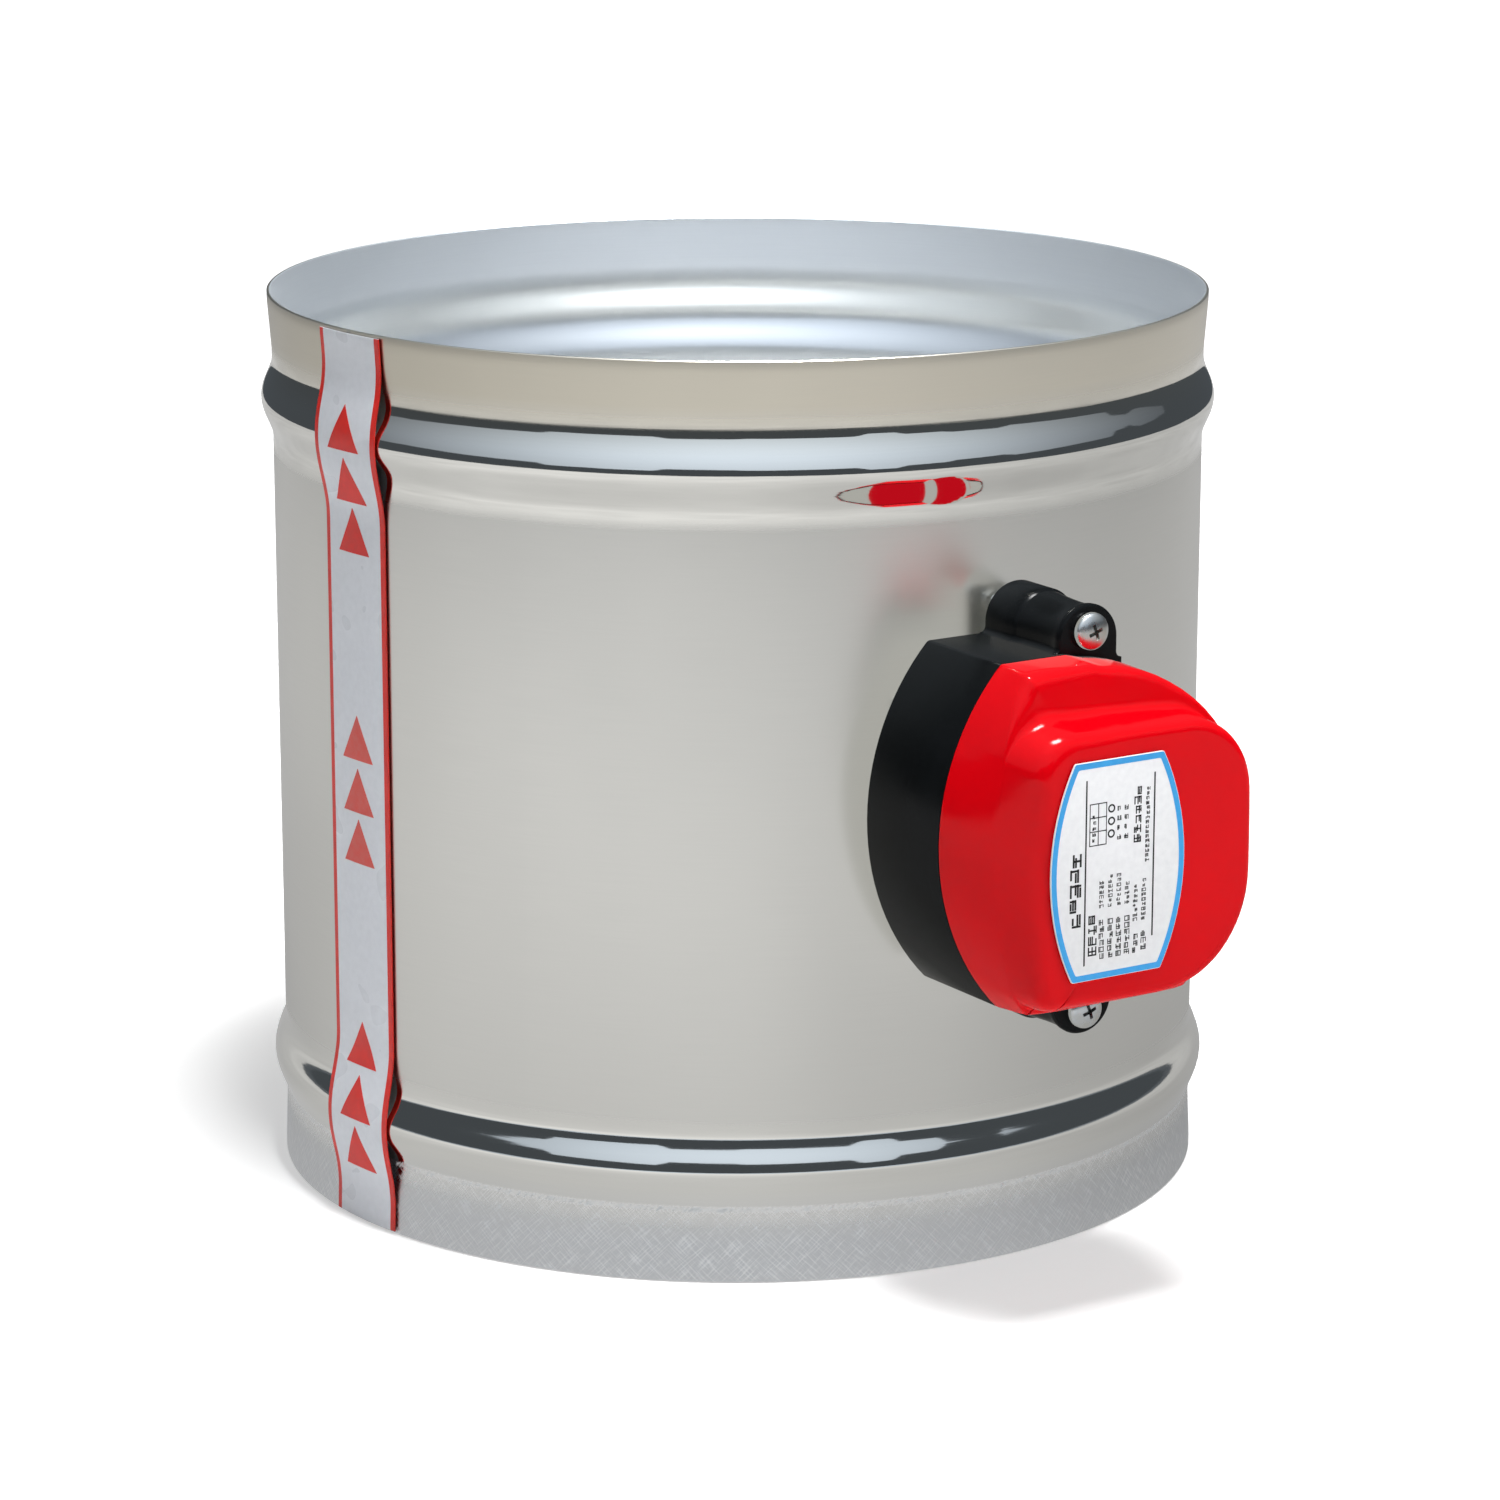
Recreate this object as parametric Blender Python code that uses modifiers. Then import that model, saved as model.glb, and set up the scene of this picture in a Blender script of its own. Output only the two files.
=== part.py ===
"""Motorised round duct damper, nominal 200 mm.

A stainless steel duct section with two rolled beads carries a turning blade on
a cross shaft. A moulded actuator stands off its side: a synchronous motor
drives the shaft through a reverted two-stage spur train, and a cam on the
shaft works two limit switches. The damper is modelled closed.

Metres, +Z up. The origin is the middle of the part's footprint, and the lower
rim stands on z = 0. The actuator points along -Y.
"""

import math

import bmesh
import bpy
from mathutils import Matrix, Vector

# Clearances
FIT_GAP = 0.0003
AXIAL_GAP = 0.0005

# Duct
DUCT_LENGTH = 0.1892
BODY_RADIUS = 0.0992
SHEET = 0.0007
RIM_FLARE_TOP = 0.0008
RIM_FLARE_BOTTOM = 0.0004
RIM_FLARE_LENGTH = 0.012
RIM_LIP = 0.0015
BEAD_BELOW_TOP = 0.0215
BEAD_ABOVE_FOOT = 0.0229
BEAD_WIDTH = 0.0185
BEAD_HEIGHT = 0.0024
BEAD_STEPS = 6
DUCT_SIDES = 42

# Flow direction tape
TAPE_WIDTH = 0.0206
TAPE_THICKNESS = 0.0003
TAPE_TENT = 0.0085
TAPE_BEARING = math.radians(-83.7)
TAPE_END_MARGIN = 0.0006

# Blade, its shaft and its seal
SHAFT_HEIGHT = 0.095
SHAFT_RADIUS = 0.005
SHAFT_SQUARE_SHARE = 1.40
SHAFT_END_SLOT = 0.0012
SHAFT_SLOT_DEPTH = 0.0015
BLADE_SHEET = 0.0015
BLADE_RIB_INSET = 0.018
BLADE_RIB_WIDTH = 0.010
BLADE_RIB_HEIGHT = 0.0022
SEAL_CLEARANCE = 0.0045
SEAL_LIP = 0.0020
SEAL_OVERLAP = 0.0040
SEAL_SKIN = 0.0015
CLAMP_INSET = 0.019
CLAMP_WIDTH = 0.014
CLAMP_SHEET = 0.0015
CLAMP_WING = 0.0095
BLADE_SCREW_RADIUS = 0.0020
BLADE_SCREW_HEAD_RADIUS = 0.0037
BLADE_SCREW_HEAD_HEIGHT = 0.0022
BLADE_SCREW_TAIL = 0.0025
HEAD_CROWN_SHARE = 0.60
HEAD_EDGE_SHARE = 0.92
HEAD_EDGE_RISE_SHARE = 0.62

# Half rings that the closed blade seals on
STOP_REACH = 0.0078
STOP_HEIGHT = 0.0085
STOP_SHEET = 0.0010
STOP_END_ANGLE = math.radians(17.0)
STOP_STEPS = 22

# Shaft bushes and clip
BUSH_WALL = 0.0020
BUSH_FLANGE_WIDTH = 0.0032
BUSH_FLANGE = 0.0016
BUSH_BARB = 0.0009
BUSH_INNER_LENGTH = 0.0022
CLIP_SHEET = 0.0010
CLIP_REACH = 0.0035
CLIP_GROOVE_DEPTH = 0.0008
CLIP_OPENING = math.radians(62.0)
SHAFT_TAIL = 0.0026

# Bracket between duct and actuator
BRACKET_SHEET = 0.0015
BRACKET_HALF_WEB = 0.015
BRACKET_FOOT = 0.0095
BRACKET_FOOT_HEIGHT = 0.041
BRACKET_STRIP_WIDTH = 0.010
BRACKET_STRIP_MARGIN = 0.0030
RIVET_RADIUS = 0.0016
RIVET_HEAD_RADIUS = 0.0032
RIVET_HEAD_HEIGHT = 0.0010
RIVET_TAIL_RADIUS = 0.0022
RIVET_TAIL_HEIGHT = 0.0016
RIVET_EDGE = 0.0040
FOOT_RIVET_SHARE = 0.55

# Actuator housing; its outline is drawn about the shaft, seen from the front
BASE_STANDOFF = 0.0058
BASE_DEPTH = 0.0252
COVER_DEPTH = 0.0178
WALL = 0.0022
FLOOR = 0.0025
HOUSING_TOP = 0.0390
HOUSING_BOTTOM = -0.0298
HOUSING_LEFT = -0.0364
HOUSING_RIGHT = 0.0313
LEFT_ARC_RADIUS = 0.049
RIGHT_ARC_DROP = 0.0007
OUTLINE_STEPS = 10

# Raised face of the cover, set in from the housing's outline
FACE_LEFT_INSET = 0.0118
FACE_RIGHT_INSET = 0.0056
FACE_TOP_INSET = 0.0120
FACE_BOTTOM_INSET = 0.0030
FACE_UPPER_RIGHT_CORNER = 0.0150
FACE_LOWER_RIGHT_CORNER = 0.0215
FACE_UPPER_LEFT_CORNER = 0.0080
FACE_LOWER_LEFT_CORNER = 0.0045
FACE_EDGE = 0.0010
COVER_RING_POINTS = 44
# Depth from the parting line as a share of the cover's depth, then how far the
# sides, the top and the bottom have moved from the housing outline to the face.
COVER_STATION_SHARES = (
    (0.00, 0.00, 0.00, 0.00),
    (0.42, 0.40, 0.00, 0.00),
    (0.49, 0.46, 0.05, 0.08),
    (0.53, 0.50, 0.20, 0.30),
    (0.55, 0.52, 0.72, 0.62),
    (0.61, 0.58, 0.86, 0.78),
    (0.92, 0.92, 0.98, 0.96),
    (0.97, 1.00, 1.00, 1.00),
)

# Lugs and their long screws
LUG_RADIUS = 0.0071
LUG_ACROSS = -0.0009
LUG_FACE_SETBACK = 0.0007
LUG_SCREW_RISE = 0.0019
LUG_SCREW_REACH = 0.0040
LUG_STEP = 0.0005
LUG_STEP_DEPTH = 0.0100
HOUSING_SCREW_RADIUS = 0.0020
HOUSING_HEAD_RADIUS = 0.0037
HOUSING_HEAD_HEIGHT = 0.0024
HOUSING_SCREW_TAIL = 0.0012

# Rating label on the raised face
LABEL_LEFT_MARGIN = 0.0016
LABEL_TOP_MARGIN = 0.0046
LABEL_BOTTOM_MARGIN = 0.0056
LABEL_HALF_WIDTH = 0.0159
LABEL_ARC_RADIUS = 0.047
LABEL_THICKNESS = 0.0004

# Gear train: motor pinion, compound idler, output gear
GEAR_MODULE = 0.0010
PRESSURE_ANGLE = math.radians(20.0)
PINION_TEETH = 12
WHEEL_TEETH = 30
ADDENDUM = 0.85
DEDENDUM = 1.15
TOOTH_THINNING = 0.00032
IDLER_BEARING = math.radians(112.5)
CAM_THICKNESS = 0.0030
CAM_RADIUS = 0.0080
CAM_LOBE_RADIUS = 0.0105
CAM_LOBE_ANGLE = math.radians(78.0)
OUTPUT_FACE_WIDTH = 0.0040
IDLER_FACE_WIDTH = 0.0030
IDLER_AXLE_RADIUS = 0.0015
IDLER_HUB_RADIUS = 0.0038
MOTOR_SHAFT_RADIUS = 0.0020
MOTOR_SHAFT_LENGTH = 0.0055

# Gear plate, its posts and the motor
POST_RADIUS = 0.0030
POST_CLEARANCE = 0.0011
POST_LEFT = -0.0250
POST_LOWER_RIGHT = (0.0190, -0.0165)
POST_UPPER_RIGHT = (0.0145, 0.0245)
PLATE_LIFT = 0.0024
PLATE_SHEET = 0.0015
PLATE_EDGE_GAP = 0.0030
PLATE_BOTTOM = -0.0205
PLATE_SCREW_RADIUS = 0.0014
PLATE_SCREW_LENGTH = 0.0080
PLATE_HEAD_RADIUS = 0.0027
PLATE_HEAD_HEIGHT = 0.0018
MOTOR_CLEARANCE = 0.0019
MOTOR_FRONT_CLEARANCE = 0.0031
MOTOR_BEARINGS = (math.radians(45.0), math.radians(225.0))
MOTOR_RIM = 0.0005
MOTOR_EDGE = 0.0012
MOTOR_EAR_REACH = 0.0042
MOTOR_EAR_RADIUS = 0.0034
MOTOR_EAR_SHEET = 0.0010
MOTOR_SCREW_RADIUS = 0.0013
MOTOR_SCREW_TAIL = 0.0010
MOTOR_HEAD_RADIUS = 0.0025
MOTOR_HEAD_HEIGHT = 0.0015

# Switches, terminals and cable grommet
SWITCH_WIDTH = 0.0092
SWITCH_LENGTH = 0.0198
SWITCH_THICKNESS = 0.0062
SWITCH_LEVER_SHEET = 0.0006
SWITCH_LEVER_GAP = 0.0005
TERMINAL_WIDTH = 0.0270
TERMINAL_HEIGHT = 0.0078
TERMINAL_DEPTH = 0.0105
TERMINAL_WAYS = 3
TERMINAL_SCREW_WELL = 0.0018
TERMINAL_WELL_DEPTH = 0.0030
GROMMET_BORE = 0.0030
GROMMET_NECK = 0.0046
GROMMET_FLANGE = 0.0062
GROMMET_NOSE = 0.0030
GROMMET_LIP = 0.0010

ROUND_SIDES = 18
SMALL_SIDES = 10

# Derived levels, measured outwards from the duct's axis
FACET_SHARE = math.cos(math.pi / DUCT_SIDES)
INNER_RADIUS = BODY_RADIUS - SHEET
BEAD_CENTRES = (DUCT_LENGTH - BEAD_BELOW_TOP, BEAD_ABOVE_FOOT)
BASE_REAR = BODY_RADIUS + BASE_STANDOFF
PARTING = BASE_REAR + BASE_DEPTH
LUG_FACE = PARTING - LUG_FACE_SETBACK
COVER_FRONT = PARTING + FIT_GAP + COVER_DEPTH
CAM_LEVEL = BASE_REAR + FLOOR + AXIAL_GAP
OUTPUT_LEVEL = CAM_LEVEL + CAM_THICKNESS + FIT_GAP
OUTPUT_FRONT = OUTPUT_LEVEL + OUTPUT_FACE_WIDTH
IDLER_LEVEL = OUTPUT_FRONT + AXIAL_GAP
IDLER_FRONT = IDLER_LEVEL + IDLER_FACE_WIDTH
PLATE_LEVEL = IDLER_FRONT + PLATE_LIFT
PLATE_FRONT = PLATE_LEVEL + PLATE_SHEET
PINION_LEVEL = IDLER_LEVEL + FIT_GAP
BRACKET_LEVEL = BASE_REAR - FIT_GAP - BRACKET_SHEET
LABEL_LEVEL = COVER_FRONT + FIT_GAP
WHEEL_PITCH_RADIUS = GEAR_MODULE * WHEEL_TEETH / 2
PINION_PITCH_RADIUS = GEAR_MODULE * PINION_TEETH / 2
GEAR_CENTRES = WHEEL_PITCH_RADIUS + PINION_PITCH_RADIUS
IDLER_PLACE = (
    GEAR_CENTRES * math.cos(IDLER_BEARING),
    GEAR_CENTRES * math.sin(IDLER_BEARING),
)
BUSH_OUTSIDE = BODY_RADIUS + FIT_GAP + BUSH_FLANGE
BUSH_RADIUS = SHAFT_RADIUS + FIT_GAP + BUSH_WALL
BUSH_FLANGE_RADIUS = BUSH_RADIUS + BUSH_FLANGE_WIDTH
CLIP_RADIUS = SHAFT_RADIUS + CLIP_REACH
SHAFT_SQUARE = SHAFT_RADIUS * SHAFT_SQUARE_SHARE
CLIP_LEVEL = BUSH_OUTSIDE + FIT_GAP
SHAFT_REAR = CLIP_LEVEL + CLIP_SHEET + FIT_GAP + SHAFT_TAIL
SHAFT_FRONT = OUTPUT_FRONT + FIT_GAP
FRONT_REACH = LABEL_LEVEL + LABEL_THICKNESS
DUCT_CENTRE_Y = (FRONT_REACH - SHAFT_REAR) / 2
BLADE_LEVEL = SHAFT_RADIUS + FIT_GAP
BLADE_TOP = BLADE_LEVEL + BLADE_SHEET
SEAL_RADIUS = INNER_RADIUS - SEAL_CLEARANCE
BLADE_RADIUS = SEAL_RADIUS - SEAL_LIP
BLADE_RIB_RADIUS = BLADE_RADIUS - BLADE_RIB_INSET
CLAMP_SPACING = 2 * (BLADE_RIB_RADIUS - CLAMP_INSET)
SEAL_BOTTOM = BLADE_LEVEL - FIT_GAP - SEAL_SKIN
SEAL_TOP = BLADE_TOP + FIT_GAP + SEAL_SKIN
HOUSING_MIDDLE = (HOUSING_TOP + HOUSING_BOTTOM) / 2
RIGHT_ARC_RADIUS = HOUSING_TOP - RIGHT_ARC_DROP
LUG_SCREW_OFFSET = (HOUSING_TOP - HOUSING_BOTTOM) / 2 + LUG_SCREW_REACH
LUG_CENTRE_OFFSET = LUG_SCREW_OFFSET - LUG_SCREW_RISE
RIVET_SPACING = BRACKET_FOOT_HEIGHT - 2 * RIVET_EDGE
FACE_LEFT = HOUSING_LEFT + FACE_LEFT_INSET
FACE_RIGHT = HOUSING_RIGHT - FACE_RIGHT_INSET
FACE_TOP = HOUSING_TOP - FACE_TOP_INSET
FACE_BOTTOM = HOUSING_BOTTOM + FACE_BOTTOM_INSET
LABEL_TOP = FACE_TOP - LABEL_TOP_MARGIN
LABEL_BOTTOM = FACE_BOTTOM + LABEL_BOTTOM_MARGIN
LABEL_CENTRE = FACE_LEFT + LABEL_LEFT_MARGIN + LABEL_HALF_WIDTH
MOTOR_ROOM = min(-FACE_LEFT, FACE_RIGHT, FACE_TOP, -FACE_BOTTOM)
MOTOR_RADIUS = MOTOR_ROOM - WALL - MOTOR_CLEARANCE
MOTOR_EAR_SPAN = MOTOR_RADIUS + MOTOR_EAR_REACH
MOTOR_FRONT = COVER_FRONT - WALL - MOTOR_FRONT_CLEARANCE
POST_PLACES = (
    (POST_LEFT, -SWITCH_LENGTH / 2 - POST_RADIUS - POST_CLEARANCE),
    POST_LOWER_RIGHT,
    POST_UPPER_RIGHT,
)


def clear_scene():
    """Remove every object that is in the scene."""
    for scene_object in list(bpy.data.objects):
        bpy.data.objects.remove(scene_object, do_unlink=True)


def make_collection(name):
    """Add a collection under the scene's own."""
    collection = bpy.data.collections.new(name)
    bpy.context.scene.collection.children.link(collection)
    return collection


clear_scene()
DAMPER = make_collection("motorised_damper")
CUTTERS = make_collection("cutters")


def make_material(name, colour, roughness, metallic=0.0):
    """Make a Principled material from a linear colour."""
    material = bpy.data.materials.new(name)
    material.use_nodes = True
    shader = material.node_tree.nodes["Principled BSDF"]
    shader.inputs["Base Color"].default_value = (*colour, 1.0)
    shader.inputs["Roughness"].default_value = roughness
    shader.inputs["Metallic"].default_value = metallic
    return material


STAINLESS = make_material("stainless_steel", (0.53, 0.52, 0.48), 0.22, 1.0)
ZINC = make_material("zinc_plated_steel", (0.60, 0.62, 0.64), 0.30, 1.0)
BRIGHT_STEEL = make_material("bright_steel", (0.50, 0.50, 0.50), 0.25, 1.0)
RED_PLASTIC = make_material("red_plastic", (0.72, 0.002, 0.006), 0.20)
BLACK_PLASTIC = make_material("black_plastic", (0.009, 0.010, 0.011), 0.28)
WHITE_NYLON = make_material("white_nylon", (0.72, 0.71, 0.66), 0.45)
BLACK_RUBBER = make_material("black_rubber", (0.015, 0.015, 0.015), 0.75)
LABEL_FILM = make_material("label_film", (0.78, 0.78, 0.80), 0.35)
TAPE_FILM = make_material("tape_film", (0.42, 0.45, 0.50), 0.40)
GREEN_PLASTIC = make_material("terminal_plastic", (0.05, 0.20, 0.10), 0.45)
SWITCH_PLASTIC = make_material("switch_plastic", (0.03, 0.03, 0.035), 0.45)


def finish_object(target, material, parent, place=(0.0, 0.0, 0.0), turn=(0.0, 0.0, 0.0)):
    """Give an object its material, its parent, its place and smooth shading."""
    target.data.materials.clear()
    target.data.materials.append(material)
    target.parent = parent
    target.location = place
    target.rotation_euler = turn
    return target


def new_object(name, mesh, collection=DAMPER):
    """Link a new object that holds a mesh."""
    target = bpy.data.objects.new(name, mesh)
    collection.objects.link(target)
    return target


def shade(mesh, angle=math.radians(32.0)):
    """Shade a mesh smooth, with sharp edges past an angle."""
    mesh.shade_smooth()
    mesh.set_sharp_from_angle(angle=angle)


def turned(name, profile, sides=ROUND_SIDES, sweep=2 * math.pi, collection=DAMPER):
    """Turn a profile of (radius, height) about Z; it runs down its outer side."""
    mesh = bpy.data.meshes.new(name)
    points = [(radius, 0.0, height) for radius, height in profile]
    edges = [(index, index + 1) for index in range(len(points) - 1)]
    mesh.from_pydata(points, edges, [])
    target = new_object(name, mesh, collection)
    screw = target.modifiers.new("turn", "SCREW")
    screw.axis = "Z"
    screw.angle = sweep
    screw.steps = sides
    screw.render_steps = sides
    screw.use_merge_vertices = True
    screw.merge_threshold = 0.00001
    screw.use_smooth_shade = True
    return target


def turned_solid(name, profile, sides=ROUND_SIDES, collection=DAMPER):
    """Turn a profile that starts and ends on the axis."""
    top = (0.0, profile[0][1])
    bottom = (0.0, profile[-1][1])
    return turned(name, [top, *profile, bottom], sides, collection=collection)


def turned_ring(name, loop, sides, sweep=2 * math.pi):
    """Turn a closed loop of (radius, height), given down its outer side first."""
    target = turned(name, [*loop, loop[0]], sides, sweep)
    if sweep < 2 * math.pi:
        mesh = evaluated_mesh(target)
        cap_open_edges(mesh)
        target = replace_mesh(target, mesh)
    return target


def evaluated_mesh(source):
    """Return a plain mesh of an object as its modifiers make it."""
    depsgraph = bpy.context.evaluated_depsgraph_get()
    depsgraph.update()
    mesh = bpy.data.meshes.new_from_object(source.evaluated_get(depsgraph))
    working = bmesh.new()
    working.from_mesh(mesh)
    bmesh.ops.remove_doubles(working, verts=working.verts, dist=0.000001)
    working.to_mesh(mesh)
    working.free()
    return mesh


def cap_open_edges(mesh):
    """Close a mesh's open ends with one face each."""
    working = bmesh.new()
    working.from_mesh(mesh)
    bmesh.ops.holes_fill(working, edges=working.edges, sides=0)
    bmesh.ops.recalc_face_normals(working, faces=working.faces)
    working.to_mesh(mesh)
    working.free()


def replace_mesh(source, mesh):
    """Swap an object for one of the same name that holds a plain mesh."""
    name = source.name
    collection = source.users_collection[0]
    matrix = source.matrix_world.copy()
    bpy.data.objects.remove(source, do_unlink=True)
    target = new_object(name, mesh, collection)
    target.matrix_world = matrix
    return target


def flat_solid(name, loops, thickness, level=0.0, collection=DAMPER):
    """Extrude flat outlines from a level up; inner outlines become holes."""
    curve = bpy.data.curves.new(name, "CURVE")
    curve.dimensions = "2D"
    curve.fill_mode = "BOTH"
    curve.extrude = thickness / 2
    for loop in loops:
        spline = curve.splines.new("POLY")
        spline.points.add(len(loop) - 1)
        for point, (across, up) in zip(spline.points, loop):
            point.co = (across, up, 0.0, 1.0)
        spline.use_cyclic_u = True
    source = bpy.data.objects.new(name, curve)
    collection.objects.link(source)
    mesh = evaluated_mesh(source)
    mesh.transform(Matrix.Translation((0.0, 0.0, level + thickness / 2)))
    working = bmesh.new()
    working.from_mesh(mesh)
    bmesh.ops.recalc_face_normals(working, faces=working.faces)
    working.to_mesh(mesh)
    working.free()
    bpy.data.objects.remove(source, do_unlink=True)
    target = new_object(name, mesh, collection)
    return target


def box_solid(name, size, centre, collection=DAMPER):
    """Make a box from a cube primitive."""
    mesh = bpy.data.meshes.new(name)
    working = bmesh.new()
    bmesh.ops.create_cube(working, size=1.0)
    bmesh.ops.scale(working, vec=size, verts=working.verts)
    bmesh.ops.translate(working, vec=centre, verts=working.verts)
    working.to_mesh(mesh)
    working.free()
    return new_object(name, mesh, collection)


def rod_solid(name, radius, bottom, top, sides=ROUND_SIDES, centre=(0.0, 0.0), collection=DAMPER):
    """Make an upright round rod from a cylinder primitive."""
    mesh = bpy.data.meshes.new(name)
    working = bmesh.new()
    bmesh.ops.create_cone(
        working, cap_ends=True, segments=sides, radius1=radius, radius2=radius, depth=top - bottom
    )
    bmesh.ops.translate(working, vec=(*centre, (top + bottom) / 2), verts=working.verts)
    working.to_mesh(mesh)
    working.free()
    return new_object(name, mesh, collection)


def combine(target, tool, operation="DIFFERENCE"):
    """Cut a target with a tool, or join the tool to it."""
    for collection in list(tool.users_collection):
        collection.objects.unlink(tool)
    CUTTERS.objects.link(tool)
    tool.hide_render = True
    tool.display_type = "WIRE"
    boolean = target.modifiers.new(tool.name, "BOOLEAN")
    boolean.operation = operation
    boolean.solver = "EXACT"
    boolean.object = tool
    return target


def place_tool(tool, parent, place=(0.0, 0.0, 0.0), turn=(0.0, 0.0, 0.0)):
    """Put a cutter or a joined form in a parent's frame."""
    tool.parent = parent
    tool.location = place
    tool.rotation_euler = turn
    return tool


def drill(target, parent, radius, bottom, top, centre=(0.0, 0.0), sides=ROUND_SIDES):
    """Drill a round hole through a target, upright in the parent's frame."""
    tool = rod_solid(target.name + "_drill", radius, bottom, top, sides, centre)
    return combine(target, place_tool(tool, parent))


def make_frame(name, parent=None, place=(0.0, 0.0, 0.0), turn=(0.0, 0.0, 0.0)):
    """Make an empty that other objects are placed in."""
    frame = bpy.data.objects.new(name, None)
    DAMPER.objects.link(frame)
    frame.parent = parent
    frame.location = place
    frame.rotation_euler = turn
    return frame


# The duct's frame stands on its lower rim. In the shaft's frame, Z runs out of
# the duct along the shaft towards the actuator, X is across and Y is up.
DUCT_FRAME = make_frame("duct_frame", place=(0.0, DUCT_CENTRE_Y, 0.0))
SHAFT_FRAME = make_frame(
    "shaft_frame", DUCT_FRAME, (0.0, 0.0, SHAFT_HEIGHT), (math.pi / 2, 0.0, 0.0)
)
# The blade's frame stays upright, with its origin on the blade's turning axis.
BLADE_FRAME = make_frame("blade_frame", DUCT_FRAME, (0.0, 0.0, SHAFT_HEIGHT))


def raised_cosine(offset, half_width):
    """Rise from 0 at the half width to 1 in the middle."""
    if abs(offset) >= half_width:
        return 0.0
    return (1.0 + math.cos(math.pi * offset / half_width)) / 2


def bead_heights(extra=0.0):
    """List the heights along both beads, top bead first, from the top down."""
    half_width = BEAD_WIDTH / 2 + extra
    heights = []
    for centre in BEAD_CENTRES:
        for step in range(BEAD_STEPS + 1):
            share = 1.0 - 2.0 * step / BEAD_STEPS
            heights.append(centre + half_width * share)
    return heights


def duct_radius(height, extra=0.0):
    """Outer radius of the duct at a height; extra widens the beads."""
    radius = BODY_RADIUS
    for centre in BEAD_CENTRES:
        radius += BEAD_HEIGHT * raised_cosine(height - centre, BEAD_WIDTH / 2 + extra)
    for end_distance, flare in (
        (DUCT_LENGTH - height, RIM_FLARE_TOP),
        (height, RIM_FLARE_BOTTOM),
    ):
        run = max(0.0, RIM_FLARE_LENGTH - max(end_distance, RIM_LIP))
        radius += flare * run / (RIM_FLARE_LENGTH - RIM_LIP)
    return radius


def duct_profile(end_margin=0.0, extra=0.0, lift=0.0):
    """Side profile of the duct from its top rim down, lifted off it by a lift."""
    top = DUCT_LENGTH - end_margin
    rims = [top, DUCT_LENGTH - RIM_LIP - end_margin, DUCT_LENGTH - RIM_FLARE_LENGTH + end_margin]
    feet = [RIM_FLARE_LENGTH - end_margin, RIM_LIP + end_margin, end_margin]
    inside = [
        height
        for height in bead_heights(extra)
        if feet[0] + 0.0002 < height < rims[-1] - 0.0002
    ]
    heights = rims + inside + feet
    return [(duct_radius(height, extra) + lift, height) for height in heights]


def build_duct():
    """Duct section: a rolled sheet with two beads, open at both ends."""
    duct = turned("duct_shell", duct_profile(), DUCT_SIDES)
    sheet = duct.modifiers.new("sheet", "SOLIDIFY")
    sheet.thickness = SHEET
    sheet.offset = -1.0
    sheet.use_even_offset = True
    finish_object(duct, STAINLESS, DUCT_FRAME)
    hole_radius = BUSH_RADIUS + FIT_GAP
    span = 2 * BODY_RADIUS
    drill(duct, SHAFT_FRAME, hole_radius, -span, span)
    for bearing, rise in rivet_places():
        tool = rod_solid("rivet_hole", RIVET_RADIUS + FIT_GAP, 0.0, span, SMALL_SIDES)
        place_tool(tool, DUCT_FRAME, (0.0, 0.0, SHAFT_HEIGHT + rise), (math.pi / 2, 0.0, bearing))
        combine(duct, tool)
    return duct


def build_tape():
    """Flow direction tape, stuck from rim to rim and bridging the bead fillets."""
    profile = duct_profile(TAPE_END_MARGIN, TAPE_TENT, FIT_GAP)
    sweep = TAPE_WIDTH / BODY_RADIUS
    tape = turned("flow_tape", profile, 4, sweep)
    film = tape.modifiers.new("film", "SOLIDIFY")
    film.thickness = TAPE_THICKNESS
    film.offset = 1.0
    front = -math.pi / 2
    finish_object(tape, TAPE_FILM, DUCT_FRAME, turn=(0.0, 0.0, front + TAPE_BEARING - sweep / 2))
    return tape


def build_stop_ring(name, side):
    """Angle half ring: side +1 lies under the rising half, -1 over the sinking half."""
    outer = INNER_RADIUS * FACET_SHARE - FIT_GAP
    inner = outer - STOP_REACH
    seat = SEAL_BOTTOM - FIT_GAP if side > 0 else SEAL_TOP + FIT_GAP
    foot = seat - side * STOP_HEIGHT
    web = seat - side * STOP_SHEET
    loop = [
        (outer, seat),
        (outer, foot),
        (outer - STOP_SHEET, foot),
        (outer - STOP_SHEET, web),
        (inner, web),
        (inner, seat),
    ]
    if side < 0:
        loop.reverse()
    sweep = math.pi - 2 * STOP_END_ANGLE
    ring = turned_ring(name, loop, STOP_STEPS, sweep)
    start = -sweep / 2 if side > 0 else math.pi - sweep / 2
    return finish_object(
        ring, STAINLESS, DUCT_FRAME, (0.0, 0.0, SHAFT_HEIGHT), (0.0, 0.0, start)
    )


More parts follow.
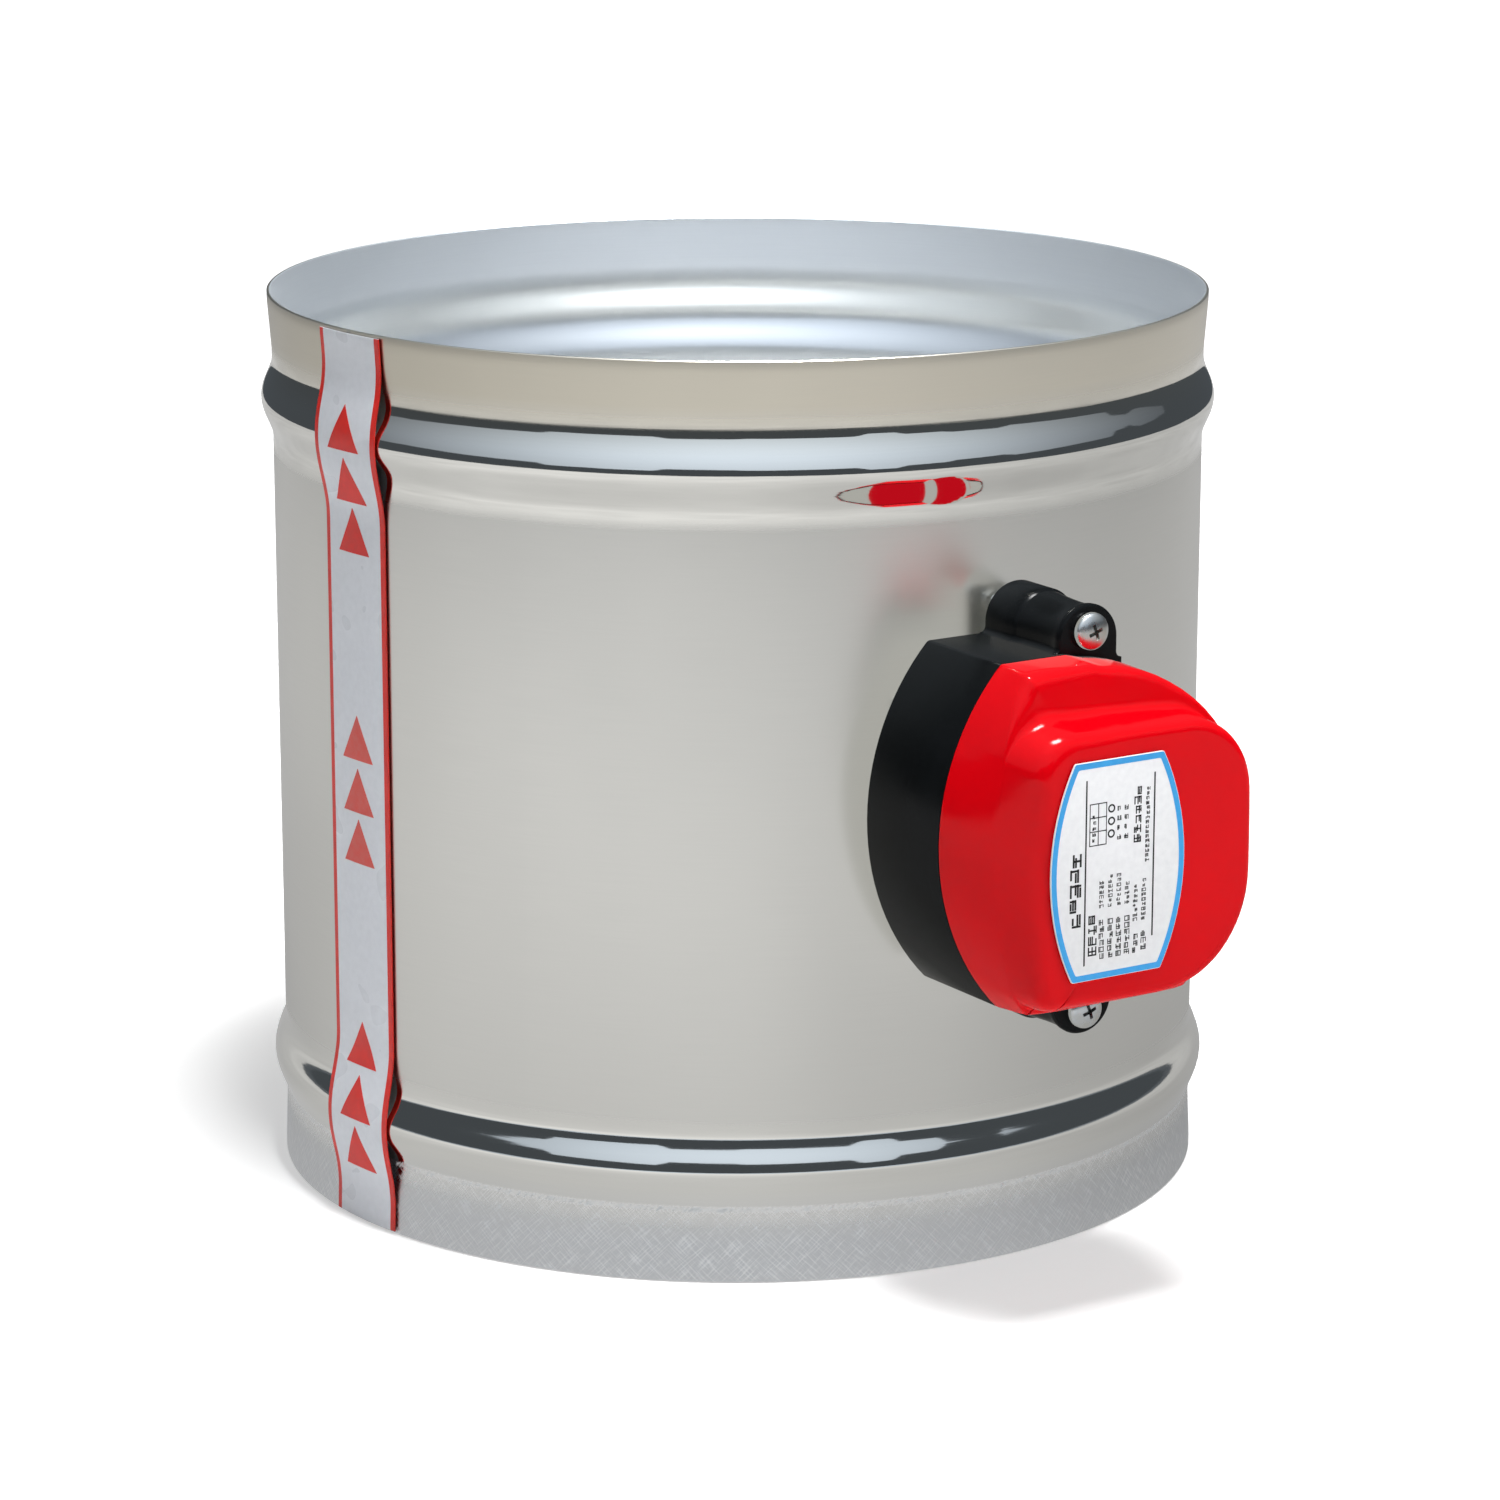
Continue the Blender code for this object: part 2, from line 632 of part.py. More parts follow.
def build_shaft():
    """Blade shaft: round, with a square front end, a clip groove and an end slot."""
    groove = SHAFT_RADIUS - CLIP_GROOVE_DEPTH
    clip_rear = -(CLIP_LEVEL + CLIP_SHEET)
    square_start = BASE_REAR + FLOOR
    profile = [
        (SHAFT_RADIUS, square_start),
        (SHAFT_RADIUS, -CLIP_LEVEL + FIT_GAP),
        (groove, -CLIP_LEVEL + FIT_GAP),
        (groove, clip_rear - FIT_GAP),
        (SHAFT_RADIUS, clip_rear - FIT_GAP),
        (SHAFT_RADIUS, -SHAFT_REAR),
    ]
    shaft = turned_solid("blade_shaft", profile)
    length = SHAFT_FRONT - square_start
    square = box_solid(
        "shaft_square",
        (SHAFT_SQUARE, SHAFT_SQUARE, 2 * length),
        (0.0, 0.0, SHAFT_FRONT - length),
    )
    combine(shaft, place_tool(square, SHAFT_FRAME), "UNION")
    slot = box_solid(
        "shaft_slot",
        (4 * SHAFT_RADIUS, SHAFT_END_SLOT, 2 * SHAFT_SLOT_DEPTH),
        (0.0, 0.0, -SHAFT_REAR),
    )
    combine(shaft, place_tool(slot, SHAFT_FRAME))
    return finish_object(shaft, BRIGHT_STEEL, SHAFT_FRAME)


def blade_screw_places():
    """List the places of the blade's screws: across the shaft, then along it."""
    across = SHAFT_RADIUS + FIT_GAP + CLAMP_SHEET + CLAMP_WING / 2
    return [
        (side * across, along * CLAMP_SPACING / 2) for along in (1, -1) for side in (-1, 1)
    ]


def build_blade():
    """Round blade with a pressed stiffening rib, tangent to the shaft."""
    half_rib = BLADE_RIB_WIDTH / 2
    rib = [
        (
            BLADE_RIB_RADIUS + half_rib * share,
            BLADE_TOP + BLADE_RIB_HEIGHT * raised_cosine(half_rib * share, half_rib),
        )
        for share in (-1.0, 0.0, 1.0)
    ]
    profile = [(0.0, BLADE_TOP), *rib, (BLADE_RADIUS, BLADE_TOP)]
    blade = turned("blade_disc", profile, DUCT_SIDES)
    sheet = blade.modifiers.new("sheet", "SOLIDIFY")
    sheet.thickness = BLADE_SHEET
    sheet.offset = -1.0
    finish_object(blade, STAINLESS, BLADE_FRAME)
    for across, along in blade_screw_places():
        tool = rod_solid(
            "blade_hole",
            BLADE_SCREW_RADIUS + FIT_GAP,
            0.0,
            2 * BLADE_TOP,
            SMALL_SIDES,
            (across, along),
        )
        combine(blade, place_tool(tool, BLADE_FRAME))
    return blade


def build_seal():
    """Rubber edge seal, a U section pushed over the blade's edge."""
    groove_root = BLADE_RADIUS + FIT_GAP
    mouth = BLADE_RADIUS - SEAL_OVERLAP
    slot_top = BLADE_TOP + FIT_GAP
    slot_bottom = BLADE_LEVEL - FIT_GAP
    loop = [
        (SEAL_RADIUS, SEAL_TOP),
        (SEAL_RADIUS, SEAL_BOTTOM),
        (mouth, SEAL_BOTTOM),
        (mouth, slot_bottom),
        (groove_root, slot_bottom),
        (groove_root, slot_top),
        (mouth, slot_top),
        (mouth, SEAL_TOP),
    ]
    seal = turned_ring("blade_seal", loop, DUCT_SIDES)
    finish_object(seal, BLACK_RUBBER, BLADE_FRAME)
    drill(seal, SHAFT_FRAME, SHAFT_RADIUS + 2 * FIT_GAP, -BODY_RADIUS, BODY_RADIUS)
    return seal


def arc_points(radius, start, end, steps, centre=(0.0, 0.0)):
    """List points along an arc, both ends included."""
    points = []
    for step in range(steps + 1):
        angle = start + (end - start) * step / steps
        points.append(
            (centre[0] + radius * math.cos(angle), centre[1] + radius * math.sin(angle))
        )
    return points


def build_clamp(name, along):
    """Saddle strap that holds the blade to the shaft."""
    inner = SHAFT_RADIUS + FIT_GAP
    outer = inner + CLAMP_SHEET
    wing_top = BLADE_LEVEL - FIT_GAP
    wing_bottom = wing_top - CLAMP_SHEET
    reach = outer + CLAMP_WING
    outline = [
        (reach, wing_top),
        (inner, wing_top),
        *arc_points(inner, 0.0, -math.pi, 8),
        (-inner, wing_top),
        (-reach, wing_top),
        (-reach, wing_bottom),
        (-outer, wing_bottom),
        *arc_points(outer, -math.pi, 0.0, 8),
        (outer, wing_bottom),
        (reach, wing_bottom),
    ]
    clamp = flat_solid(name, [outline], CLAMP_WIDTH, -CLAMP_WIDTH / 2)
    # The shaft's frame runs out towards -Y, so a place along +Y is minus Z there.
    finish_object(clamp, ZINC, SHAFT_FRAME, (0.0, 0.0, -along))
    for across, screw_along in blade_screw_places():
        if screw_along * along > 0:
            tool = rod_solid(
                "clamp_hole",
                BLADE_SCREW_RADIUS + FIT_GAP,
                -2 * SHAFT_RADIUS,
                2 * SHAFT_RADIUS,
                SMALL_SIDES,
                (across, screw_along),
            )
            combine(clamp, place_tool(tool, BLADE_FRAME))
    return clamp


def pan_screw(name, shank, length, head, head_height, sides=SMALL_SIDES):
    """Pan head screw: its seat is at z = 0, its head is up and its shank is down."""
    profile = [
        (head * HEAD_CROWN_SHARE, head_height),
        (head * HEAD_EDGE_SHARE, head_height * HEAD_EDGE_RISE_SHARE),
        (head, 0.0),
        (shank, 0.0),
        (shank, -length),
    ]
    return turned_solid(name, profile, sides)


def build_blade_screws():
    """Screws that hold the blade to its two clamps."""
    seat = BLADE_TOP + FIT_GAP
    length = seat - (BLADE_LEVEL - FIT_GAP - CLAMP_SHEET) + BLADE_SCREW_TAIL
    for index, (across, along) in enumerate(blade_screw_places(), start=1):
        screw = pan_screw(
            f"blade_screw_{index}",
            BLADE_SCREW_RADIUS,
            length,
            BLADE_SCREW_HEAD_RADIUS,
            BLADE_SCREW_HEAD_HEIGHT,
        )
        finish_object(screw, ZINC, BLADE_FRAME, (across, along, seat))


def build_bush(name, side):
    """Snap-in nylon shaft bush: side +1 is the actuator's side."""
    bore = SHAFT_RADIUS + FIT_GAP
    barb_radius = BUSH_RADIUS + FIT_GAP + BUSH_BARB
    barb_top = math.sqrt(INNER_RADIUS**2 - barb_radius**2) * FACET_SHARE - FIT_GAP
    inner_end = barb_top - BUSH_INNER_LENGTH
    loop = [
        (BUSH_FLANGE_RADIUS, BUSH_OUTSIDE),
        (BUSH_FLANGE_RADIUS, BODY_RADIUS + FIT_GAP),
        (BUSH_RADIUS, BODY_RADIUS + FIT_GAP),
        (BUSH_RADIUS, barb_top),
        (barb_radius, barb_top),
        (BUSH_RADIUS, inner_end),
        (bore, inner_end),
        (bore, BUSH_OUTSIDE),
    ]
    bush = turned_ring(name, loop, ROUND_SIDES)
    turn = (0.0, 0.0, 0.0) if side > 0 else (math.pi, 0.0, 0.0)
    return finish_object(bush, WHITE_NYLON, SHAFT_FRAME, turn=turn)


def build_clip():
    """Retaining ring in the shaft's groove, behind the rear bush."""
    inner = SHAFT_RADIUS - CLIP_GROOVE_DEPTH + FIT_GAP
    start = CLIP_OPENING / 2
    end = 2 * math.pi - start
    outline = arc_points(CLIP_RADIUS, start, end, 20) + arc_points(inner, end, start, 20)
    clip = flat_solid("shaft_clip", [outline], CLIP_SHEET, -(CLIP_LEVEL + CLIP_SHEET))
    return finish_object(clip, BRIGHT_STEEL, SHAFT_FRAME, turn=(0.0, 0.0, -math.pi / 2))


def foot_bearing():
    """Half the angle, seen from the duct's axis, between the bracket's feet."""
    radius = BODY_RADIUS + FIT_GAP
    return math.asin((BRACKET_HALF_WEB + BRACKET_FOOT * FOOT_RIVET_SHARE) / radius)


def rivet_places():
    """List the rivets as (bearing, height above the shaft)."""
    return [
        (side * foot_bearing(), HOUSING_MIDDLE + rise * RIVET_SPACING / 2)
        for rise in (1, -1)
        for side in (-1, 1)
    ]


def build_bracket():
    """Hat-section bracket on the duct, with a strip that takes the long screws."""
    lower = BODY_RADIUS + FIT_GAP
    upper = lower + BRACKET_SHEET
    web_top = BRACKET_LEVEL + BRACKET_SHEET
    half_web = BRACKET_HALF_WEB
    leg_angle = math.asin(half_web / upper)
    inner_half = half_web - BRACKET_SHEET
    inner_angle = math.asin(inner_half / lower)
    foot_angle = (half_web + BRACKET_FOOT) / lower

    def on_arc(radius, angle):
        return (radius * math.sin(angle), radius * math.cos(angle))

    right_half = [
        (half_web, web_top),
        on_arc(upper, leg_angle),
        on_arc(upper, (leg_angle + foot_angle) / 2),
        on_arc(upper, foot_angle),
        on_arc(lower, foot_angle),
        on_arc(lower, (leg_angle + foot_angle) / 2),
        on_arc(lower, inner_angle),
        (inner_half, BRACKET_LEVEL),
    ]
    left_half = [(-across, out) for across, out in reversed(right_half)]
    outline = right_half + left_half
    bracket = flat_solid(
        "mount_bracket", [outline], BRACKET_FOOT_HEIGHT, -BRACKET_FOOT_HEIGHT / 2
    )
    # The outline is drawn as seen from above, with its second axis pointing out.
    finish_object(
        bracket,
        ZINC,
        SHAFT_FRAME,
        (0.0, HOUSING_MIDDLE, 0.0),
        (math.pi / 2, 0.0, 0.0),
    )
    strip_height = 2 * (LUG_SCREW_OFFSET + BRACKET_STRIP_MARGIN)
    strip = box_solid(
        "bracket_strip",
        (BRACKET_STRIP_WIDTH, strip_height, BRACKET_SHEET),
        (LUG_ACROSS, HOUSING_MIDDLE, BRACKET_LEVEL + BRACKET_SHEET / 2),
    )
    combine(bracket, place_tool(strip, SHAFT_FRAME), "UNION")
    hole_bottom = BRACKET_LEVEL - BRACKET_SHEET
    hole_top = BASE_REAR + BRACKET_SHEET
    drill(bracket, SHAFT_FRAME, SHAFT_RADIUS + 2 * FIT_GAP, hole_bottom, hole_top)
    for place in lug_screw_places():
        radius = HOUSING_SCREW_RADIUS + FIT_GAP
        drill(bracket, SHAFT_FRAME, radius, hole_bottom, hole_top, place, SMALL_SIDES)
    for bearing, rise in rivet_places():
        tool = rod_solid(
            "foot_hole", RIVET_RADIUS + FIT_GAP, BODY_RADIUS - SHEET, BASE_REAR, SMALL_SIDES
        )
        place_tool(tool, DUCT_FRAME, (0.0, 0.0, SHAFT_HEIGHT + rise), (math.pi / 2, 0.0, bearing))
        combine(bracket, tool)
    return bracket


def build_rivets():
    """Blind rivets that hold the bracket's feet to the duct."""
    seat = BODY_RADIUS + 2 * FIT_GAP + BRACKET_SHEET
    tail = INNER_RADIUS * FACET_SHARE - FIT_GAP
    profile = [
        (RIVET_HEAD_RADIUS * 0.55, seat + RIVET_HEAD_HEIGHT),
        (RIVET_HEAD_RADIUS, seat + RIVET_HEAD_HEIGHT * 0.25),
        (RIVET_HEAD_RADIUS, seat),
        (RIVET_RADIUS, seat),
        (RIVET_RADIUS, tail),
        (RIVET_TAIL_RADIUS, tail - RIVET_TAIL_HEIGHT * 0.4),
        (RIVET_RADIUS, tail - RIVET_TAIL_HEIGHT),
    ]
    for index, (bearing, rise) in enumerate(rivet_places(), start=1):
        rivet = turned_solid(f"bracket_rivet_{index}", profile, SMALL_SIDES)
        finish_object(
            rivet,
            BRIGHT_STEEL,
            DUCT_FRAME,
            (0.0, 0.0, SHAFT_HEIGHT + rise),
            (math.pi / 2, 0.0, bearing),
        )


def side_arc(radius, middle, half_height_up, half_height_down, side, centre_y):
    """Points of one bulging side between two heights, from the lower one up."""
    centre_x = middle - side * radius
    low = math.asin((half_height_down - centre_y) / radius)
    high = math.asin((half_height_up - centre_y) / radius)
    points = []
    for step in range(OUTLINE_STEPS + 1):
        angle = low + (high - low) * step / OUTLINE_STEPS
        points.append(
            (centre_x + side * radius * math.cos(angle), centre_y + radius * math.sin(angle))
        )
    return points


def housing_outline(inset=0.0, bottom=HOUSING_BOTTOM):
    """Housing outline, anticlockwise: right arc, flat top, left arc, flat foot."""
    top = HOUSING_TOP - inset
    low = bottom + inset
    radius = RIGHT_ARC_RADIUS - inset
    crown = HOUSING_RIGHT - RIGHT_ARC_RADIUS
    right = arc_points(
        radius, math.asin(low / radius), math.pi / 2, OUTLINE_STEPS, (crown, 0.0)
    )
    right[-1] = (crown, top)
    left = side_arc(
        LEFT_ARC_RADIUS - inset, HOUSING_LEFT + inset, top, low, -1, HOUSING_MIDDLE
    )
    left.reverse()
    return right + left


def lug_screw_places():
    """Places of the two long screws, above and below the housing."""
    return [(LUG_ACROSS, HOUSING_MIDDLE + side * LUG_SCREW_OFFSET) for side in (1, -1)]


def build_base():
    """Moulded rear half: a tray with two long lugs, posts and an axle boss."""
    base = flat_solid("actuator_base", [housing_outline()], BASE_DEPTH, BASE_REAR)
    finish_object(base, BLACK_PLASTIC, SHAFT_FRAME)
    for side in (1, -1):
        centre = (LUG_ACROSS, HOUSING_MIDDLE + side * LUG_CENTRE_OFFSET)
        lug = lug_form(f"lug_{side}", centre, side, 0.0, BASE_REAR + LUG_STEP_DEPTH, LUG_FACE)
        combine(base, lug, "UNION")
        collar = lug_form(
            f"lug_collar_{side}", centre, side, LUG_STEP, BASE_REAR, BASE_REAR + LUG_STEP_DEPTH
        )
        combine(base, collar, "UNION")
    cavity = flat_solid("base_cavity", [housing_outline(WALL)], BASE_DEPTH, BASE_REAR + FLOOR)
    combine(base, place_tool(cavity, SHAFT_FRAME))
    boss = rod_solid(
        "axle_boss",
        IDLER_HUB_RADIUS,
        BASE_REAR + FLOOR / 2,
        OUTPUT_LEVEL - AXIAL_GAP,
        ROUND_SIDES,
        IDLER_PLACE,
    )
    combine(base, place_tool(boss, SHAFT_FRAME), "UNION")
    for place in POST_PLACES:
        post = rod_solid(
            "plate_post",
            POST_RADIUS,
            BASE_REAR + FLOOR / 2,
            PLATE_LEVEL - FIT_GAP,
            SMALL_SIDES,
            place,
        )
        combine(base, place_tool(post, SHAFT_FRAME), "UNION")
    beyond = PARTING + BASE_DEPTH
    drill(base, SHAFT_FRAME, SHAFT_RADIUS + FIT_GAP, BASE_REAR - BASE_DEPTH, beyond)
    axle_hole_bottom = BASE_REAR + FLOOR / 2
    drill(
        base,
        SHAFT_FRAME,
        IDLER_AXLE_RADIUS + FIT_GAP,
        axle_hole_bottom,
        beyond,
        IDLER_PLACE,
        SMALL_SIDES,
    )
    for place in POST_PLACES:
        radius = PLATE_SCREW_RADIUS + FIT_GAP
        bottom = PLATE_LEVEL - PLATE_SCREW_LENGTH
        drill(base, SHAFT_FRAME, radius, bottom, beyond, place, SMALL_SIDES)
    for place in lug_screw_places():
        radius = HOUSING_SCREW_RADIUS + FIT_GAP
        drill(base, SHAFT_FRAME, radius, BASE_REAR - BASE_DEPTH, beyond, place, SMALL_SIDES)
    tool = rod_solid(
        "grommet_hole", GROMMET_NECK + FIT_GAP, -WALL - GROMMET_FLANGE, GROMMET_FLANGE, ROUND_SIDES
    )
    place_tool(tool, SHAFT_FRAME, grommet_place(), (0.0, math.pi / 2, 0.0))
    combine(base, tool)
    return base


def lug_form(name, centre, side, swell, bottom, top):
    """Lug outline: a round end on straight flanks that run into the housing."""
    radius = LUG_RADIUS + swell
    start = 0.0 if side > 0 else -math.pi
    outline = arc_points(radius, start, start + math.pi, 12, centre)
    inside = HOUSING_MIDDLE
    outline += [(outline[-1][0], inside), (outline[0][0], inside)]
    form = flat_solid(name, [outline], top - bottom, bottom)
    return place_tool(form, SHAFT_FRAME)


def grommet_place():
    """Where the cable grommet's neck meets the outside of the right wall."""
    return (HOUSING_RIGHT, 0.0, PARTING - GROMMET_FLANGE - FIT_GAP)


def rounded_corner(corner, radius, start):
    """Quarter arc at a corner; start is the bearing at which the arc begins."""
    middle = start + math.pi / 4
    reach = radius * math.sqrt(2.0)
    centre = (corner[0] - reach * math.cos(middle), corner[1] - reach * math.sin(middle))
    return arc_points(radius, start, start + math.pi / 2, 6, centre)


def face_outline(inset=0.0):
    """Outline of the raised face, anticlockwise, with its four corner radii."""
    left = FACE_LEFT + inset
    right = FACE_RIGHT - inset
    top = FACE_TOP - inset
    bottom = FACE_BOTTOM + inset
    corners = (
        ((right, bottom), FACE_LOWER_RIGHT_CORNER, -math.pi / 2),
        ((right, top), FACE_UPPER_RIGHT_CORNER, 0.0),
        ((left, top), FACE_UPPER_LEFT_CORNER, math.pi / 2),
        ((left, bottom), FACE_LOWER_LEFT_CORNER, math.pi),
    )
    points = []
    for corner, radius, start in corners:
        points += rounded_corner(corner, max(radius - inset, FACE_EDGE), start)
    return points


def ray_points(outline, count):
    """Resample an outline where rays from the shaft's axis cross it."""
    points = []
    for step in range(count):
        angle = 2 * math.pi * (step + 0.5) / count
        direction = Vector((math.cos(angle), math.sin(angle)))
        best = None
        for start, end in zip(outline, outline[1:] + outline[:1]):
            first = Vector(start)
            edge = Vector(end) - first
            spread = direction.cross(edge)
            if abs(spread) < 1e-12:
                continue
            along = first.cross(edge) / spread
            share = first.cross(direction) / spread
            if along > 0 and -1e-9 <= share <= 1 + 1e-9:
                best = along if best is None else max(best, along)
        points.append(direction * best)
    return points


def cover_rings(inset, depth, stations):
    """Rings of the cover's skin, from the parting line to the raised face."""
    housing = ray_points(housing_outline(inset), COVER_RING_POINTS)
    face = ray_points(face_outline(inset), COVER_RING_POINTS)
    rings = []
    for share, side, top, bottom in stations:
        level = PARTING + FIT_GAP + share * depth
        ring = []
        for outer, inner in zip(housing, face):
            rise = top if outer.y > 0 else bottom
            ring.append(
                Vector(
                    (
                        outer.x + (inner.x - outer.x) * side,
                        outer.y + (inner.y - outer.y) * rise,
                        level,
                    )
                )
            )
        rings.append(ring)
    edge = ray_points(face_outline(inset + FACE_EDGE), COVER_RING_POINTS)
    rings.append([Vector((point.x, point.y, PARTING + FIT_GAP + depth)) for point in edge])
    return rings


def build_cover():
    """Moulded front half: a lofted shell whose face is raised over the motor."""
    working = bmesh.new()
    skins = []
    for inset, depth, stations in (
        (0.0, COVER_DEPTH, COVER_STATION_SHARES),
        (WALL, COVER_DEPTH - WALL, COVER_STATION_SHARES[::2]),
    ):
        rings = [
            [working.verts.new(point) for point in ring]
            for ring in cover_rings(inset, depth, stations)
        ]
        for lower, upper in zip(rings, rings[1:]):
            for index in range(COVER_RING_POINTS):
                after = (index + 1) % COVER_RING_POINTS
                working.faces.new((lower[index], lower[after], upper[after], upper[index]))
        working.faces.new(rings[-1])
        skins.append(rings[0])
    for index in range(COVER_RING_POINTS):
        after = (index + 1) % COVER_RING_POINTS
        working.faces.new((skins[0][index], skins[0][after], skins[1][after], skins[1][index]))
    bmesh.ops.recalc_face_normals(working, faces=working.faces)
    mesh = bpy.data.meshes.new("actuator_cover")
    working.to_mesh(mesh)
    working.free()
    shade(mesh)
    cover = new_object("actuator_cover", mesh)
    return finish_object(cover, RED_PLASTIC, SHAFT_FRAME)


def build_housing_screws():
    """Long screws through the lugs into the bracket's strip."""
    seat = LUG_FACE + FIT_GAP
    length = seat - BRACKET_LEVEL + HOUSING_SCREW_TAIL
    for name, place in zip(("housing_screw_upper", "housing_screw_lower"), lug_screw_places()):
        screw = pan_screw(
            name, HOUSING_SCREW_RADIUS, length, HOUSING_HEAD_RADIUS, HOUSING_HEAD_HEIGHT
        )
        finish_object(screw, ZINC, SHAFT_FRAME, (*place, seat))


def build_label():
    """Rating label: a film with straight ends and bulging sides."""
    half_height = (LABEL_TOP - LABEL_BOTTOM) / 2
    right = side_arc(LABEL_ARC_RADIUS, LABEL_HALF_WIDTH, half_height, -half_height, 1, 0.0)
    left = [(-across, up) for across, up in reversed(right)]
    label = flat_solid("rating_label", [right + left], LABEL_THICKNESS, LABEL_LEVEL)
    rise = (LABEL_TOP + LABEL_BOTTOM) / 2
    return finish_object(label, LABEL_FILM, SHAFT_FRAME, (LABEL_CENTRE, rise, 0.0))


def involute(angle):
    """Involute function of a pressure angle."""
    return math.tan(angle) - angle


def gear_outline(teeth, first_tooth):
    """Spur gear outline with one tooth centred on a bearing."""
    pitch = GEAR_MODULE * teeth / 2
    base = pitch * math.cos(PRESSURE_ANGLE)
    root = pitch - DEDENDUM * GEAR_MODULE
    tip = pitch + ADDENDUM * GEAR_MODULE
    half_tooth = (math.pi * GEAR_MODULE / 2 - TOOTH_THINNING) / 2 / pitch
    radii = [root, pitch, tip]
    flank = []
    for radius in radii:
        pressure = math.acos(min(1.0, base / radius))
        flank.append((radius, half_tooth + involute(PRESSURE_ANGLE) - involute(pressure)))
    points = []
    for tooth in range(teeth):
        centre = first_tooth + 2 * math.pi * tooth / teeth
        for radius, half_angle in flank:
            points.append((radius, centre - half_angle))
        for radius, half_angle in reversed(flank):
            points.append((radius, centre + half_angle))
    return [(radius * math.cos(angle), radius * math.sin(angle)) for radius, angle in points]


def round_loop(radius, sides=SMALL_SIDES):
    """Closed round outline."""
    return arc_points(radius, 0.0, 2 * math.pi, sides)[:-1]


def square_loop(width):
    """Closed square outline."""
    half = width / 2
    return [(half, half), (-half, half), (-half, -half), (half, -half)]


def build_output_gear():
    """Output gear on the shaft's square."""
    outline = gear_outline(WHEEL_TEETH, IDLER_BEARING)
    bore = square_loop(SHAFT_SQUARE + 2 * FIT_GAP)
    gear = flat_solid("output_gear", [outline, bore], OUTPUT_FACE_WIDTH, OUTPUT_LEVEL)
    return finish_object(gear, WHITE_NYLON, SHAFT_FRAME)


def build_cam():
    """Limit cam on the shaft's square, behind the output gear."""
    half_lobe = CAM_LOBE_ANGLE / 2
    outline = arc_points(CAM_LOBE_RADIUS, -half_lobe, half_lobe, 6)
    outline += arc_points(CAM_RADIUS, half_lobe * 1.3, 2 * math.pi - half_lobe * 1.3, 18)
    bore = square_loop(SHAFT_SQUARE + 2 * FIT_GAP)
    cam = flat_solid("limit_cam", [outline, bore], CAM_THICKNESS, CAM_LEVEL)
    return finish_object(cam, BLACK_PLASTIC, SHAFT_FRAME)


def build_idler():
    """Compound idler: a small gear for the output and a large one for the motor."""
    towards_output = IDLER_BEARING + math.pi
    small_first = towards_output + math.pi / PINION_TEETH
    small_depth = IDLER_LEVEL - OUTPUT_LEVEL
    idler = flat_solid(
        "idler_gear", [gear_outline(WHEEL_TEETH, towards_output)], IDLER_FACE_WIDTH, small_depth
    )
    small = flat_solid(
        "idler_small", [gear_outline(PINION_TEETH, small_first)], small_depth * 1.5, 0.0
    )
    hub_top = PLATE_LEVEL - AXIAL_GAP - OUTPUT_LEVEL
    hub = rod_solid("idler_hub", IDLER_HUB_RADIUS, small_depth * 1.2, hub_top)
    place = (*IDLER_PLACE, OUTPUT_LEVEL)
    finish_object(idler, WHITE_NYLON, SHAFT_FRAME, place)
    combine(idler, place_tool(small, SHAFT_FRAME, place), "UNION")
    combine(idler, place_tool(hub, SHAFT_FRAME, place), "UNION")
    bore = IDLER_AXLE_RADIUS + FIT_GAP
    drill(idler, SHAFT_FRAME, bore, BASE_REAR, PARTING, IDLER_PLACE, SMALL_SIDES)
    return idler


def build_axle():
    """Fixed steel axle of the idler, from the base's boss to the gear plate."""
    bottom = BASE_REAR + FLOOR / 2 + FIT_GAP
    axle = rod_solid("idler_axle", IDLER_AXLE_RADIUS, bottom, PLATE_FRONT, SMALL_SIDES)
    return finish_object(axle, BRIGHT_STEEL, SHAFT_FRAME, (*IDLER_PLACE, 0.0))


def build_pinion():
    """Motor pinion with its shaft, in line with the blade shaft."""
    first = IDLER_BEARING + math.pi / PINION_TEETH
    pinion = flat_solid(
        "motor_pinion", [gear_outline(PINION_TEETH, first)], IDLER_FACE_WIDTH, PINION_LEVEL
    )
    shaft_end = PLATE_FRONT + FIT_GAP + MOTOR_SHAFT_LENGTH
    stub = rod_solid(
        "motor_shaft", MOTOR_SHAFT_RADIUS, PINION_LEVEL + IDLER_FACE_WIDTH / 2, shaft_end
    )
    finish_object(pinion, BRIGHT_STEEL, SHAFT_FRAME)
    return combine(pinion, place_tool(stub, SHAFT_FRAME), "UNION")


def ear_places():
    """Places of the motor's two fixing ears."""
    return [
        (MOTOR_EAR_SPAN * math.cos(bearing), MOTOR_EAR_SPAN * math.sin(bearing))
        for bearing in MOTOR_BEARINGS
    ]


def build_plate():
    """Gear plate that closes the train and carries the motor."""
    outline = housing_outline(WALL + PLATE_EDGE_GAP, PLATE_BOTTOM - WALL - PLATE_EDGE_GAP)
    plate = flat_solid("gear_plate", [outline], PLATE_SHEET, PLATE_LEVEL)
    finish_object(plate, ZINC, SHAFT_FRAME)
    holes = [((0.0, 0.0), MOTOR_SHAFT_RADIUS + AXIAL_GAP)]
    holes.append((IDLER_PLACE, IDLER_AXLE_RADIUS + FIT_GAP))
    holes += [(place, PLATE_SCREW_RADIUS + FIT_GAP) for place in POST_PLACES]
    holes += [(place, MOTOR_SCREW_RADIUS + FIT_GAP) for place in ear_places()]
    for place, radius in holes:
        drill(plate, SHAFT_FRAME, radius, OUTPUT_LEVEL, PARTING, place, SMALL_SIDES)
    return plate


